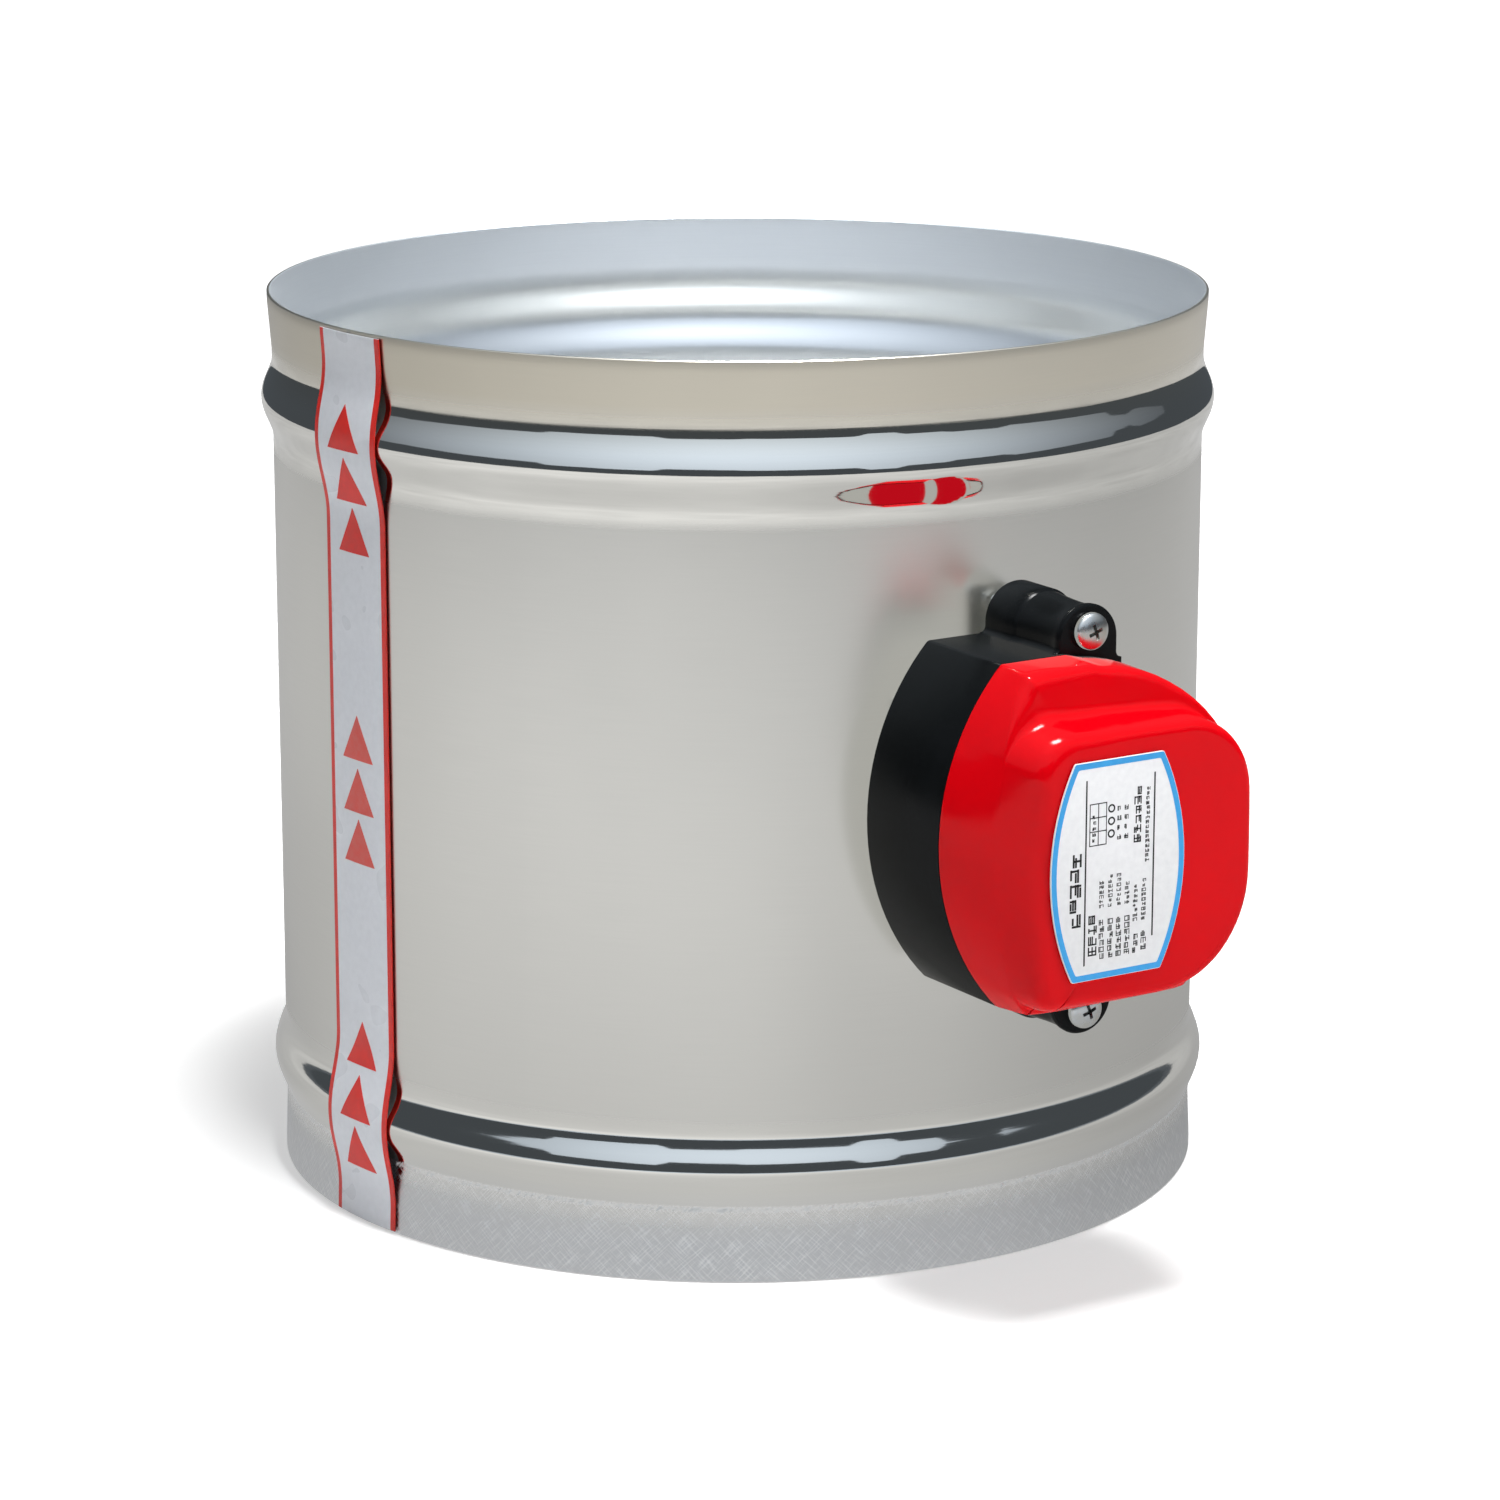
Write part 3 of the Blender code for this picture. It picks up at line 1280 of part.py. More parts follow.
def build_plate_screws():
    """Screws through the gear plate into the base's posts."""
    seat = PLATE_FRONT + FIT_GAP
    length = PLATE_SCREW_LENGTH - FIT_GAP
    for index, place in enumerate(POST_PLACES, start=1):
        screw = pan_screw(
            f"plate_screw_{index}",
            PLATE_SCREW_RADIUS,
            length,
            PLATE_HEAD_RADIUS,
            PLATE_HEAD_HEIGHT,
        )
        finish_object(screw, ZINC, SHAFT_FRAME, (*place, seat))


def build_motor():
    """Synchronous motor: a round can on a flange with two fixing ears."""
    bottom = PLATE_FRONT + FIT_GAP
    top = MOTOR_FRONT
    rim = MOTOR_RADIUS + MOTOR_RIM
    half_ear = math.asin(MOTOR_EAR_RADIUS / rim)
    outline = []
    for bearing, ear in zip(MOTOR_BEARINGS, ear_places()):
        outline += arc_points(rim, bearing - math.pi + half_ear, bearing - half_ear, 12)
        outline += arc_points(
            MOTOR_EAR_RADIUS, bearing - math.pi / 2, bearing + math.pi / 2, 6, ear
        )
    motor = flat_solid("motor_can", [outline], MOTOR_EAR_SHEET, bottom)
    finish_object(motor, ZINC, SHAFT_FRAME)
    profile = [
        (MOTOR_RADIUS - MOTOR_EDGE, top),
        (MOTOR_RADIUS, top - MOTOR_EDGE),
        (MOTOR_RADIUS, bottom + MOTOR_EAR_SHEET / 2),
    ]
    can = turned_solid("motor_body", profile, 28)
    combine(motor, place_tool(can, SHAFT_FRAME), "UNION")
    for place in ear_places():
        radius = MOTOR_SCREW_RADIUS + FIT_GAP
        drill(motor, SHAFT_FRAME, radius, PLATE_LEVEL, top, place, SMALL_SIDES)
    shaft_end = bottom + MOTOR_SHAFT_LENGTH + AXIAL_GAP
    radius = MOTOR_SHAFT_RADIUS + FIT_GAP
    drill(motor, SHAFT_FRAME, radius, PLATE_LEVEL, shaft_end, (0.0, 0.0), SMALL_SIDES)
    return motor


def build_motor_screws():
    """Screws through the motor's ears into the gear plate."""
    seat = PLATE_FRONT + 2 * FIT_GAP + MOTOR_EAR_SHEET
    length = seat - PLATE_LEVEL + MOTOR_SCREW_TAIL
    for index, place in enumerate(ear_places(), start=1):
        screw = pan_screw(
            f"motor_screw_{index}",
            MOTOR_SCREW_RADIUS,
            length,
            MOTOR_HEAD_RADIUS,
            MOTOR_HEAD_HEIGHT,
            12,
        )
        finish_object(screw, ZINC, SHAFT_FRAME, (*place, seat))


def build_switch(name, side):
    """Limit switch beside the cam, with its lever reaching the cam's track."""
    inner_edge = WHEEL_PITCH_RADIUS + GEAR_MODULE
    bottom = BASE_REAR + FLOOR + FIT_GAP
    centre_x = side * (inner_edge + SWITCH_WIDTH / 2)
    switch = box_solid(
        name,
        (SWITCH_WIDTH, SWITCH_LENGTH, SWITCH_THICKNESS),
        (centre_x, 0.0, bottom + SWITCH_THICKNESS / 2),
    )
    finish_object(switch, SWITCH_PLASTIC, SHAFT_FRAME)
    lever_tip = CAM_LOBE_RADIUS + SWITCH_LEVER_GAP
    lever_depth = CAM_THICKNESS - FIT_GAP
    lever = flat_solid(
        "switch_lever",
        [
            [
                (inner_edge + SWITCH_LEVER_SHEET, SWITCH_LENGTH / 2 - SWITCH_LEVER_SHEET),
                (lever_tip, 0.0),
                (inner_edge + SWITCH_LEVER_SHEET, SWITCH_LENGTH / 2 - 3 * SWITCH_LEVER_SHEET),
            ]
        ],
        lever_depth,
        bottom,
    )
    turn = (0.0, 0.0, 0.0) if side > 0 else (0.0, 0.0, math.pi)
    combine(switch, place_tool(lever, SHAFT_FRAME, turn=turn), "UNION")
    return switch


def build_terminals():
    """Terminal block on the base's floor, with a screw well for each way."""
    bottom = BASE_REAR + FLOOR + FIT_GAP
    floor_line = HOUSING_BOTTOM + WALL + FIT_GAP
    centre_y = floor_line + TERMINAL_HEIGHT / 2
    block = box_solid(
        "terminal_block",
        (TERMINAL_WIDTH, TERMINAL_HEIGHT, TERMINAL_DEPTH),
        (0.0, centre_y, bottom + TERMINAL_DEPTH / 2),
    )
    finish_object(block, GREEN_PLASTIC, SHAFT_FRAME)
    pitch = TERMINAL_WIDTH / TERMINAL_WAYS
    top = bottom + TERMINAL_DEPTH
    for way in range(TERMINAL_WAYS):
        across = (way - (TERMINAL_WAYS - 1) / 2) * pitch
        drill(
            block,
            SHAFT_FRAME,
            TERMINAL_SCREW_WELL,
            top - TERMINAL_WELL_DEPTH,
            top + TERMINAL_DEPTH,
            (across, centre_y),
            SMALL_SIDES,
        )
    return block


def build_grommet():
    """Rubber cable grommet in the housing's right wall."""
    lip_radius = GROMMET_NECK + 2 * FIT_GAP
    wall_arc = RIGHT_ARC_RADIUS - WALL
    lip_top = math.sqrt(wall_arc**2 - lip_radius**2) - RIGHT_ARC_RADIUS - FIT_GAP
    loop = [
        (GROMMET_BORE + (GROMMET_NECK - GROMMET_BORE) / 2, GROMMET_NOSE),
        (GROMMET_FLANGE, FIT_GAP * 2),
        (GROMMET_NECK, FIT_GAP * 2),
        (GROMMET_NECK, lip_top),
        (lip_radius, lip_top),
        (GROMMET_NECK, lip_top - GROMMET_LIP),
        (GROMMET_BORE, lip_top - GROMMET_LIP),
        (GROMMET_BORE, GROMMET_NOSE),
    ]
    grommet = turned_ring("cable_grommet", loop, ROUND_SIDES)
    return finish_object(
        grommet, BLACK_RUBBER, SHAFT_FRAME, grommet_place(), (0.0, math.pi / 2, 0.0)
    )


def shade_all():
    """Shade every finished piece smooth where it is round."""
    for target in DAMPER.objects:
        if target.type == "MESH" and target.name != "actuator_cover":
            smooth = target.modifiers.get("turn") is None
            if smooth:
                shade(target.data)


def build_damper():
    """Build every piece of the damper."""
    build_duct()
    build_tape()
    build_stop_ring("stop_ring_lower", 1)
    build_stop_ring("stop_ring_upper", -1)
    build_bracket()
    build_rivets()
    build_bush("shaft_bush_front", 1)
    build_bush("shaft_bush_rear", -1)
    build_shaft()
    build_clip()
    build_blade()
    build_seal()
    build_clamp("blade_clamp_rear", CLAMP_SPACING / 2)
    build_clamp("blade_clamp_front", -CLAMP_SPACING / 2)
    build_blade_screws()
    build_base()
    build_cover()
    build_housing_screws()
    build_label()
    build_output_gear()
    build_cam()
    build_idler()
    build_axle()
    build_pinion()
    build_plate()
    build_plate_screws()
    build_motor()
    build_motor_screws()
    build_switch("limit_switch_open", 1)
    build_switch("limit_switch_closed", -1)
    build_terminals()
    build_grommet()
    shade_all()


build_damper()
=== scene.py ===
"""Blender scene of a motorised round duct damper, nominal 200 mm.

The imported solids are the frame: a beaded steel duct section, its blade and
shaft, and an actuator in a black and red moulded housing. The classes below
build the finely shaped pieces that stand for those solids and dress every
surface. Sizes are in metres, in the frame's own coordinates: the duct stands
on z = 0 and the actuator points along -Y.
"""

from __future__ import annotations

import logging
import math
import random
from dataclasses import dataclass
from enum import Enum
from typing import Callable, Sequence

import bmesh
import bpy
from mathutils import Matrix, Vector


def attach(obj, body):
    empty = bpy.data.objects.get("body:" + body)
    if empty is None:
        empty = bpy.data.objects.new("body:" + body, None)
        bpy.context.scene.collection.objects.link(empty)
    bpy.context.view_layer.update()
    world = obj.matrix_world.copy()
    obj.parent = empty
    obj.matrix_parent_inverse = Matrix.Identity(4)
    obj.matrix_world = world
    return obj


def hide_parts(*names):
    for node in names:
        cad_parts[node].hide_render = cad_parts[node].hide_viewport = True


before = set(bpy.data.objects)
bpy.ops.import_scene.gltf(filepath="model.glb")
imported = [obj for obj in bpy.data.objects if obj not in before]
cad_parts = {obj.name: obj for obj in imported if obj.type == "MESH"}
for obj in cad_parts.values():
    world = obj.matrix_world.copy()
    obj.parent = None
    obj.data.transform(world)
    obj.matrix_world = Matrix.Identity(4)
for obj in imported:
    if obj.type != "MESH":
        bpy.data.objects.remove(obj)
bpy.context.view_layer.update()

LOG = logging.getLogger("damper")

Point = tuple[float, float]
Outline = list[Point]
Ring = list[Vector]
Mesh = bpy.types.Mesh
Node = bpy.types.Node
Socket = bpy.types.NodeSocket
Tree = bpy.types.NodeTree

FIT_GAP = 0.0003
DUCT_AXIS_Y = 0.02185
DUCT_RADIUS = 0.0992
UPPER_BEAD = 0.1666
LOWER_BEAD = 0.0226
SHAFT_HEIGHT = 0.095
DUCT_FRAME = Matrix.Translation((0.0, DUCT_AXIS_Y, 0.0))
BLADE_FRAME = Matrix.Translation((0.0, DUCT_AXIS_Y, SHAFT_HEIGHT))
# Across, up, and out of the duct along the shaft.
SHAFT_FRAME = Matrix(
    (
        (1.0, 0.0, 0.0, 0.0),
        (0.0, 0.0, -1.0, DUCT_AXIS_Y),
        (0.0, 1.0, 0.0, SHAFT_HEIGHT),
        (0.0, 0.0, 0.0, 1.0),
    )
)


class Body(Enum):
    """The bodies that carry the built pieces."""

    DUCT = "duct_section"
    BLADE = "blade"


class Slot(Enum):
    """Material slot names; no piece here is given one."""

    STAINLESS = "stainless_steel"
    ZINC = "zinc_plated_steel"
    BRIGHT = "bright_steel"
    RED = "red_plastic"
    BLACK = "black_plastic"
    NYLON = "white_nylon"
    RUBBER = "black_rubber"
    LABEL = "label_film"
    TAPE = "tape_film"


# Nodes


def linear(hex_colour: str) -> tuple[float, float, float, float]:
    """Turn an sRGB hex value into a linear colour.

    Args:
        hex_colour: Six hex digits after a number sign.

    Returns:
        Red, green, blue and an alpha of 1.
    """
    channels = [int(hex_colour[start : start + 2], 16) / 255.0 for start in (1, 3, 5)]
    red, green, blue = (
        channel / 12.92 if channel <= 0.04045 else ((channel + 0.055) / 1.055) ** 2.4
        for channel in channels
    )
    return red, green, blue, 1.0


def add_node(
    tree: Tree,
    kind: str,
    inputs: dict[int | str, object] | None = None,
    **settings: object,
) -> Node:
    """Add one node, set it up and join it to the nodes before it.

    Args:
        tree: The tree that takes the node.
        kind: The node's type name.
        inputs: Value or source socket of each input, by its name or place.
        **settings: The node's own properties.

    Returns:
        The new node.
    """
    made = tree.nodes.new(kind)
    for name, value in settings.items():
        setattr(made, name, value)
    for key, value in (inputs or {}).items():
        if isinstance(value, Socket):
            tree.links.new(value, made.inputs[key])
        else:
            made.inputs[key].default_value = value
    return made


def work_out(tree: Tree, known: dict[str, Socket], steps: Sequence[tuple]) -> dict[str, Socket]:
    """Add a chain of sums to a tree.

    Args:
        tree: The tree that takes the sums.
        known: Sockets that the steps may name.
        steps: Result's name, operation, then its operands: names or numbers.

    Returns:
        The known sockets with one more for each step.
    """
    for result, operation, *operands in steps:
        inputs = {
            place: known[operand] if isinstance(operand, str) else operand
            for place, operand in enumerate(operands)
        }
        made = add_node(tree, "ShaderNodeMath", inputs, operation=operation)
        known[result] = made.outputs[0]
    return known


# Finishes


def spread(
    tree: Tree,
    source: Socket,
    low: float,
    high: float,
    start: float = 0.3,
    end: float = 0.7,
) -> Socket:
    """Map a pattern's middle range to two values.

    Args:
        tree: The tree that takes the node.
        source: The pattern.
        low: Result where the pattern is at start or under it.
        high: Result where the pattern is at end or over it.
        start: Pattern value that gives low.
        end: Pattern value that gives high.

    Returns:
        The mapped value's socket.
    """
    inputs = {"Value": source, "From Min": start, "From Max": end, "To Min": low, "To Max": high}
    return add_node(tree, "ShaderNodeMapRange", inputs).outputs[0]


def tint(tree: Tree, factor: Socket, first: object, second: object) -> Socket:
    """Blend two colours, each a hex value or a socket, by a factor."""
    pair = [linear(item) if isinstance(item, str) else item for item in (first, second)]
    made = tree.nodes.new("ShaderNodeMix")
    made.data_type = "RGBA"
    colour_inputs = {socket.name: socket for socket in made.inputs if socket.enabled}
    for name, value in zip(("Factor", "A", "B"), (factor, *pair)):
        if isinstance(value, Socket):
            tree.links.new(value, colour_inputs[name])
        else:
            colour_inputs[name].default_value = value
    return next(socket for socket in made.outputs if socket.enabled)


@dataclass(frozen=True)
class Finish:
    """A finish of the damper: its typical values, and its surface's own pattern."""

    name: str
    colour: str
    roughness: float
    metallic: float = 0.0
    specular: float = 0.5

    def material(self) -> bpy.types.Material:
        """Return the finish's material, which is made on its first use."""
        made = bpy.data.materials.get(self.name)
        if made is None:
            made = bpy.data.materials.new(self.name)
            made.use_nodes = True
            shader = made.node_tree.nodes["Principled BSDF"]
            shader.inputs["Base Color"].default_value = linear(self.colour)
            shader.inputs["Roughness"].default_value = self.roughness
            shader.inputs["Metallic"].default_value = self.metallic
            shader.inputs["Specular IOR Level"].default_value = self.specular
            self.dress(made.node_tree, shader)
        return made

    def dress(self, tree: Tree, shader: Node) -> None:
        """Join the surface's pattern to the shader; each kind of finish has its own."""

    def fade_sheen(self, tree: Tree, shader: Node, kept: float) -> None:
        """Keep only a share of the sheen on faces that are seen at a glance."""
        facing = add_node(tree, "ShaderNodeLayerWeight", {"Blend": 0.5}).outputs["Facing"]
        left = spread(tree, facing, self.specular, self.specular * kept, 0.35, 0.75)
        tree.links.new(left, shader.inputs["Specular IOR Level"])


@dataclass(frozen=True)
class RolledStainless(Finish):
    """Bright annealed stainless sheet, cold rolled, then bent into a duct.

    It mirrors its surroundings. Its roughness holds for the plain sheet, which
    mirrors softly; the bead rollers polish the beads, which mirror sharply.
    Rolling leaves faint streaks, bending leaves slow waves, and handling
    leaves a web of scratches under a line of wear on the lower spigot.
    The line carries painted glints, and the top spigot painted shade.
    """

    polish: float = 0.06
    polished_reach: float = 0.0100
    warm: str = "#F0EADB"
    spigot_shade: str = "#CFC9BA"
    cool: str = "#CDD1D8"
    dull: str = "#9A9C9E"
    streak_mm: float = 0.35
    wave_mm: float = 60.0
    scratch_mm: float = 0.45
    worn_glint_line: float = 0.0154
    seam: float = 0.20
    seam_bearing: float = math.radians(-173.7)

    def web(self, tree: Tree, known: dict[str, Socket], lengthwise: str, across: str) -> Socket:
        """Return one direction's scratches: lines where a stretched noise crosses its middle."""
        place = add_node(tree, "ShaderNodeCombineXYZ", {0: known[lengthwise], 1: known[across]})
        noise = add_node(
            tree,
            "ShaderNodeTexNoise",
            {"Vector": place.outputs[0], "Scale": 1.0 / (self.scratch_mm * 0.001), "Detail": 2.0},
        )
        return spread(tree, noise.outputs[0], 0.0, 1.0, 0.50, 0.68)

    def dress(self, tree: Tree, shader: Node) -> None:
        """Join tone, painted shade, streaks, waves, scratches and painted glints to the shader."""
        where = add_node(tree, "ShaderNodeTexCoord").outputs["Object"]
        parts = add_node(tree, "ShaderNodeSeparateXYZ", {0: where})
        known = {"x": parts.outputs[0], "y": parts.outputs[1], "z": parts.outputs[2]}
        steps = (
            ("depth", "SUBTRACT", "y", DUCT_AXIS_Y),
            ("bearing", "ARCTAN2", "depth", "x"),
            ("arc", "MULTIPLY", "bearing", DUCT_RADIUS),
            ("long_arc", "MULTIPLY", "arc", 0.02),
            ("sum", "ADD", "arc", "z"),
            ("difference", "SUBTRACT", "arc", "z"),
            ("long_sum", "MULTIPLY", "sum", 0.06),
            ("long_difference", "MULTIPLY", "difference", 0.06),
            ("from_seam", "SUBTRACT", "bearing", self.seam_bearing),
            ("seam_distance", "ABSOLUTE", "from_seam"),
            ("from_upper", "SUBTRACT", "z", UPPER_BEAD),
            ("upper", "ABSOLUTE", "from_upper"),
            ("from_lower", "SUBTRACT", "z", LOWER_BEAD),
            ("lower", "ABSOLUTE", "from_lower"),
            ("bead_distance", "MINIMUM", "upper", "lower"),
            ("from_line", "SUBTRACT", "z", self.worn_glint_line),
            ("line_distance", "ABSOLUTE", "from_line"),
        )
        work_out(tree, known, steps)
        streak_place = add_node(tree, "ShaderNodeCombineXYZ", {0: known["long_arc"], 2: known["z"]})
        streaks = add_node(
            tree,
            "ShaderNodeTexNoise",
            {"Vector": streak_place.outputs[0], "Scale": 1.0 / (self.streak_mm * 0.001), "Detail": 3.0},
        )
        waves = add_node(
            tree,
            "ShaderNodeTexNoise",
            {"Vector": where, "Scale": 1.0 / (self.wave_mm * 0.001), "Detail": 1.0},
        )
        reach = self.polished_reach
        known["first"] = self.web(tree, known, "long_sum", "difference")
        known["second"] = self.web(tree, known, "long_difference", "sum")
        known |= {
            "streak": streaks.outputs[0],
            "wave": waves.outputs[0],
            "spigot": spread(tree, known["z"], 1.0, 0.0, self.worn_glint_line, self.worn_glint_line + 0.0010),
            "glints": spread(tree, known["first"], 0.35, 1.0, 0.1, 0.5),
            "line": spread(tree, known["line_distance"], 1.0, 0.0, 0.0003, 0.0009),
            "seam": spread(tree, known["seam_distance"], 1.0, 0.0, 0.004, 0.009),
            "sheet": spread(
                tree, known["bead_distance"], self.polish, self.roughness, reach - 0.0015, reach + 0.0015
            ),
        }
        steps = (
            ("crossed", "ADD", "first", "second"),
            ("scratch", "MULTIPLY", "crossed", "spigot"),
            ("scratch_part", "MULTIPLY", "scratch", 0.30),
            ("broken_line", "MULTIPLY", "line", "glints"),
            ("line_part", "MULTIPLY", "broken_line", 0.70),
            ("seam_part", "MULTIPLY", "seam", self.seam),
            ("streak_part", "MULTIPLY", "streak", 0.05),
            ("wave_part", "MULTIPLY", "wave", 0.06),
            ("wear_and_glints", "ADD", "scratch_part", "line_part"),
            ("grain", "ADD", "streak_part", "seam_part"),
            ("marks", "ADD", "wear_and_glints", "grain"),
            ("waved", "ADD", "marks", "wave_part"),
            ("dulled", "ADD", "waved", "sheet"),
            ("settled", "SUBTRACT", "dulled", 0.055),
        )
        work_out(tree, known, steps)
        # Painted shade: above the upper bead the sheet darkens towards -x and warms towards +x.
        spigot_shading = tint(tree, spread(tree, known["x"], 0.0, 1.0, -0.09, 0.06), self.spigot_shade, self.warm)
        tone = tint(tree, spread(tree, known["z"], 0.0, 1.0, 0.170, 0.180), self.colour, spigot_shading)
        tone = tint(tree, spread(tree, known["z"], 0.6, 0.0, 0.008, 0.020), tone, self.cool)
        shade = spread(tree, known["grain"], 0.0, 0.30, 0.0, 0.25)
        tone = tint(tree, shade, tone, self.dull)
        # Painted glints: the line of wear turns near white in dashes; the scratches turn lighter as wear.
        bright = spread(tree, known["wear_and_glints"], 0.0, 0.85, 0.0, 0.40)
        tone = tint(tree, bright, tone, "#FBFBFA")
        tree.links.new(tone, shader.inputs["Base Color"])
        tree.links.new(known["settled"], shader.inputs["Roughness"])
        slow = add_node(
            tree,
            "ShaderNodeBump",
            {"Height": known["wave"], "Strength": 0.25, "Distance": 0.0010},
        )
        fine = add_node(
            tree,
            "ShaderNodeBump",
            {"Height": known["marks"], "Strength": 0.6, "Distance": 0.00008, "Normal": slow.outputs[0]},
        )
        tree.links.new(fine.outputs[0], shader.inputs["Normal"])


@dataclass(frozen=True)
class PatternedFinish(Finish):
    """A surface with slow patches of tone and a fine relief.

    Tone and relief each hold a feature's size in millimetres and its detail.
    The second colour's share runs between the values in mixed, and roughness
    strays less or more, by the values in strays, with one of the patterns.
    """

    second: str = "#D8D2C4"
    tone: Point = (1000.0 / 120.0, 2.0)
    relief: Point = (0.5, 4.0)
    mixed: tuple[float, ...] = (0.0, 0.6)
    strays: Point = (0.06, 0.06)
    strays_with: str = "tone"
    strength: float = 0.4
    depth: float = 0.00004
    stretch: tuple[float, float, float] = (1.0, 1.0, 1.0)
    sheen_kept: float = 1.0

    def dress(self, tree: Tree, shader: Node) -> None:
        """Join tone, shine, relief and sheen to the shader."""
        where = add_node(tree, "ShaderNodeTexCoord").outputs["Object"]
        inputs = {"Vector": where, "Scale": self.stretch}
        placed = add_node(tree, "ShaderNodeMapping", inputs).outputs[0]
        patterns = {}
        for name, (size_mm, detail) in (("tone", self.tone), ("relief", self.relief)):
            inputs = {"Vector": placed, "Scale": 1.0 / (size_mm * 0.001), "Detail": detail}
            patterns[name] = add_node(tree, "ShaderNodeTexNoise", inputs).outputs[0]
        share = spread(tree, patterns["tone"], *self.mixed)
        less, more = self.strays
        shine = patterns[self.strays_with]
        inputs = {"Height": patterns["relief"], "Strength": self.strength, "Distance": self.depth}
        joined = {
            "Base Color": tint(tree, share, self.colour, self.second),
            "Roughness": spread(tree, shine, self.roughness - less, self.roughness + more),
            "Normal": add_node(tree, "ShaderNodeBump", inputs).outputs[0],
        }
        for name, source in joined.items():
            tree.links.new(source, shader.inputs[name])
        if self.sheen_kept < 1.0:
            self.fade_sheen(tree, shader, self.sheen_kept)


@dataclass(frozen=True)
class GlossMoulding(PatternedFinish):
    """Gloss plastic from a polished mould, such as ABS.

    The mould's polish leaves a slight orange peel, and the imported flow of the
    melt leaves slow changes of tone. The eye sees crisp highlights that waver.
    """

    second: str = "#BC000B"
    tone: Point = (22.0, 3.0)
    relief: Point = (1.1, 2.0)
    mixed: tuple[float, ...] = (0.0, 0.35, 0.35, 0.75)
    strays: Point = (0.03, 0.05)
    strength: float = 0.30
    depth: float = 0.00002
    sheen_kept: float = 0.30


@dataclass(frozen=True)
class SparkedMoulding(PatternedFinish):
    """Semi-gloss plastic from a spark-eroded mould, such as glass-filled nylon.

    The mould's fine pits break up the highlights, so edges glow softly and
    a flat seen at a glance loses its sheen.
    """

    second: str = "#14171A"
    tone: Point = (1000.0 / 60.0, 4.0)
    relief: Point = (0.45, 3.0)
    mixed: tuple[float, ...] = (0.0, 0.30, 0.45, 0.75)
    strays: Point = (0.04, 0.08)
    strength: float = 0.35
    depth: float = 0.00003
    sheen_kept: float = 0.15


@dataclass(frozen=True)
class ZincPlate(PatternedFinish):
    """Steel with bright zinc plate and a clear chromate.

    The chromate gives patches of faint blue and straw, a few millimetres wide,
    and the plate is a little uneven in its shine.
    """

    second: str = "#C4BFB0"
    tone: Point = (3.0, 4.0)
    relief: Point = (0.4, 2.0)
    mixed: tuple[float, ...] = (0.0, 0.7)
    strays: Point = (0.06, 0.10)
    strength: float = 0.20
    depth: float = 0.00002


@dataclass(frozen=True)
class TurnedSteel(PatternedFinish):
    """Bright steel turned on a lathe about the blade's shaft.

    The tool leaves fine rings, drawn here every 0.3 mm so that they show.
    """

    second: str = "#9A9B9C"
    tone: Point = (1000.0, 2.0)
    relief: Point = (1000.0, 2.0)
    mixed: tuple[float, ...] = (0.0, 0.5)
    strays: Point = (0.05, 0.12)
    strength: float = 0.25
    depth: float = 0.00002
    stretch: tuple[float, float, float] = (30.0, 1.0 / (0.3 * 0.001), 30.0)


@dataclass(frozen=True)
class SoftPolymer(PatternedFinish):
    """Matt polymer with a fine cast grain, such as natural nylon or rubber.

    The grain scatters the light, so the eye sees a soft, even surface.
    """

    strays_with: str = "relief"


@dataclass(frozen=True)
class PrintedFilm(PatternedFinish):
    """Self-adhesive vinyl film or the ink on it.

    The film is satin, its ink a little uneven, and its face follows small
    ripples of the adhesive.
    """

    second: str = "#DCDDE0"
    tone: Point = (1000.0 / 700.0, 3.0)
    relief: Point = (6.0, 1.0)
    mixed: tuple[float, ...] = (0.0, 0.55)
    strays: Point = (0.04, 0.06)
    strays_with: str = "relief"
    strength: float = 0.25
    depth: float = 0.00008


STAINLESS = RolledStainless("bright_annealed_stainless", "#E0DFDA", 0.30, 1.0)
INSIDE_STAINLESS = RolledStainless(
    "duct_inside_stainless", "#EEF0F1", 0.56, 1.0,
    polish=0.30, warm="#E2E5E8", spigot_shade="#E2E5E8", cool="#E6E8EA",
)
PRESSED_STAINLESS = RolledStainless("pressed_stainless", "#D6D6D2", 0.36, 1.0, polish=0.30, seam=0.0)
ZINC = ZincPlate("bright_zinc_plate", "#C9CED2", 0.26, 1.0)
TURNED = TurnedSteel("bright_turned_steel", "#BEBEBD", 0.24, 1.0)
RED_GLOSS = GlossMoulding("red_gloss_abs", "#D4000C", 0.12, specular=0.16)
BLACK_GLOSS = SparkedMoulding("black_moulded_nylon", "#0B0D0E", 0.19, specular=0.10)
NATURAL_NYLON = SoftPolymer("natural_nylon", "#E8E4D9", 0.42, second="#D9D3C2")
RUBBER = SoftPolymer("moulded_rubber", "#1D1D1E", 0.72, second="#2B2B2B", relief=(0.7, 4.0))
TERMINAL_GREEN = SoftPolymer("terminal_polyamide", "#3C7A58", 0.45, second="#2F6648")
SWITCH_DARK = SoftPolymer("switch_phenolic", "#2C2D30", 0.48, second="#3A3B3E")
LABEL_WHITE = PrintedFilm("label_vinyl", "#E9EAEC", 0.34)
LABEL_BLUE = PrintedFilm("label_blue_ink", "#2C9ADF", 0.34, second="#3AA5E4")
LABEL_INK = PrintedFilm("label_black_ink", "#121315", 0.40, second="#1D1E21")
TAPE_GREY = PrintedFilm("tape_vinyl", "#DBDFE6", 0.30, second="#E4E8EF", relief=(9.0, 1.0))
TAPE_RED = PrintedFilm("tape_red_ink", "#E2241A", 0.34, second="#CE2B22")
TAPE_PALE_RED = PrintedFilm("tape_worn_red_ink", "#DC4C42", 0.36, second="#D4645C")


# Meshes


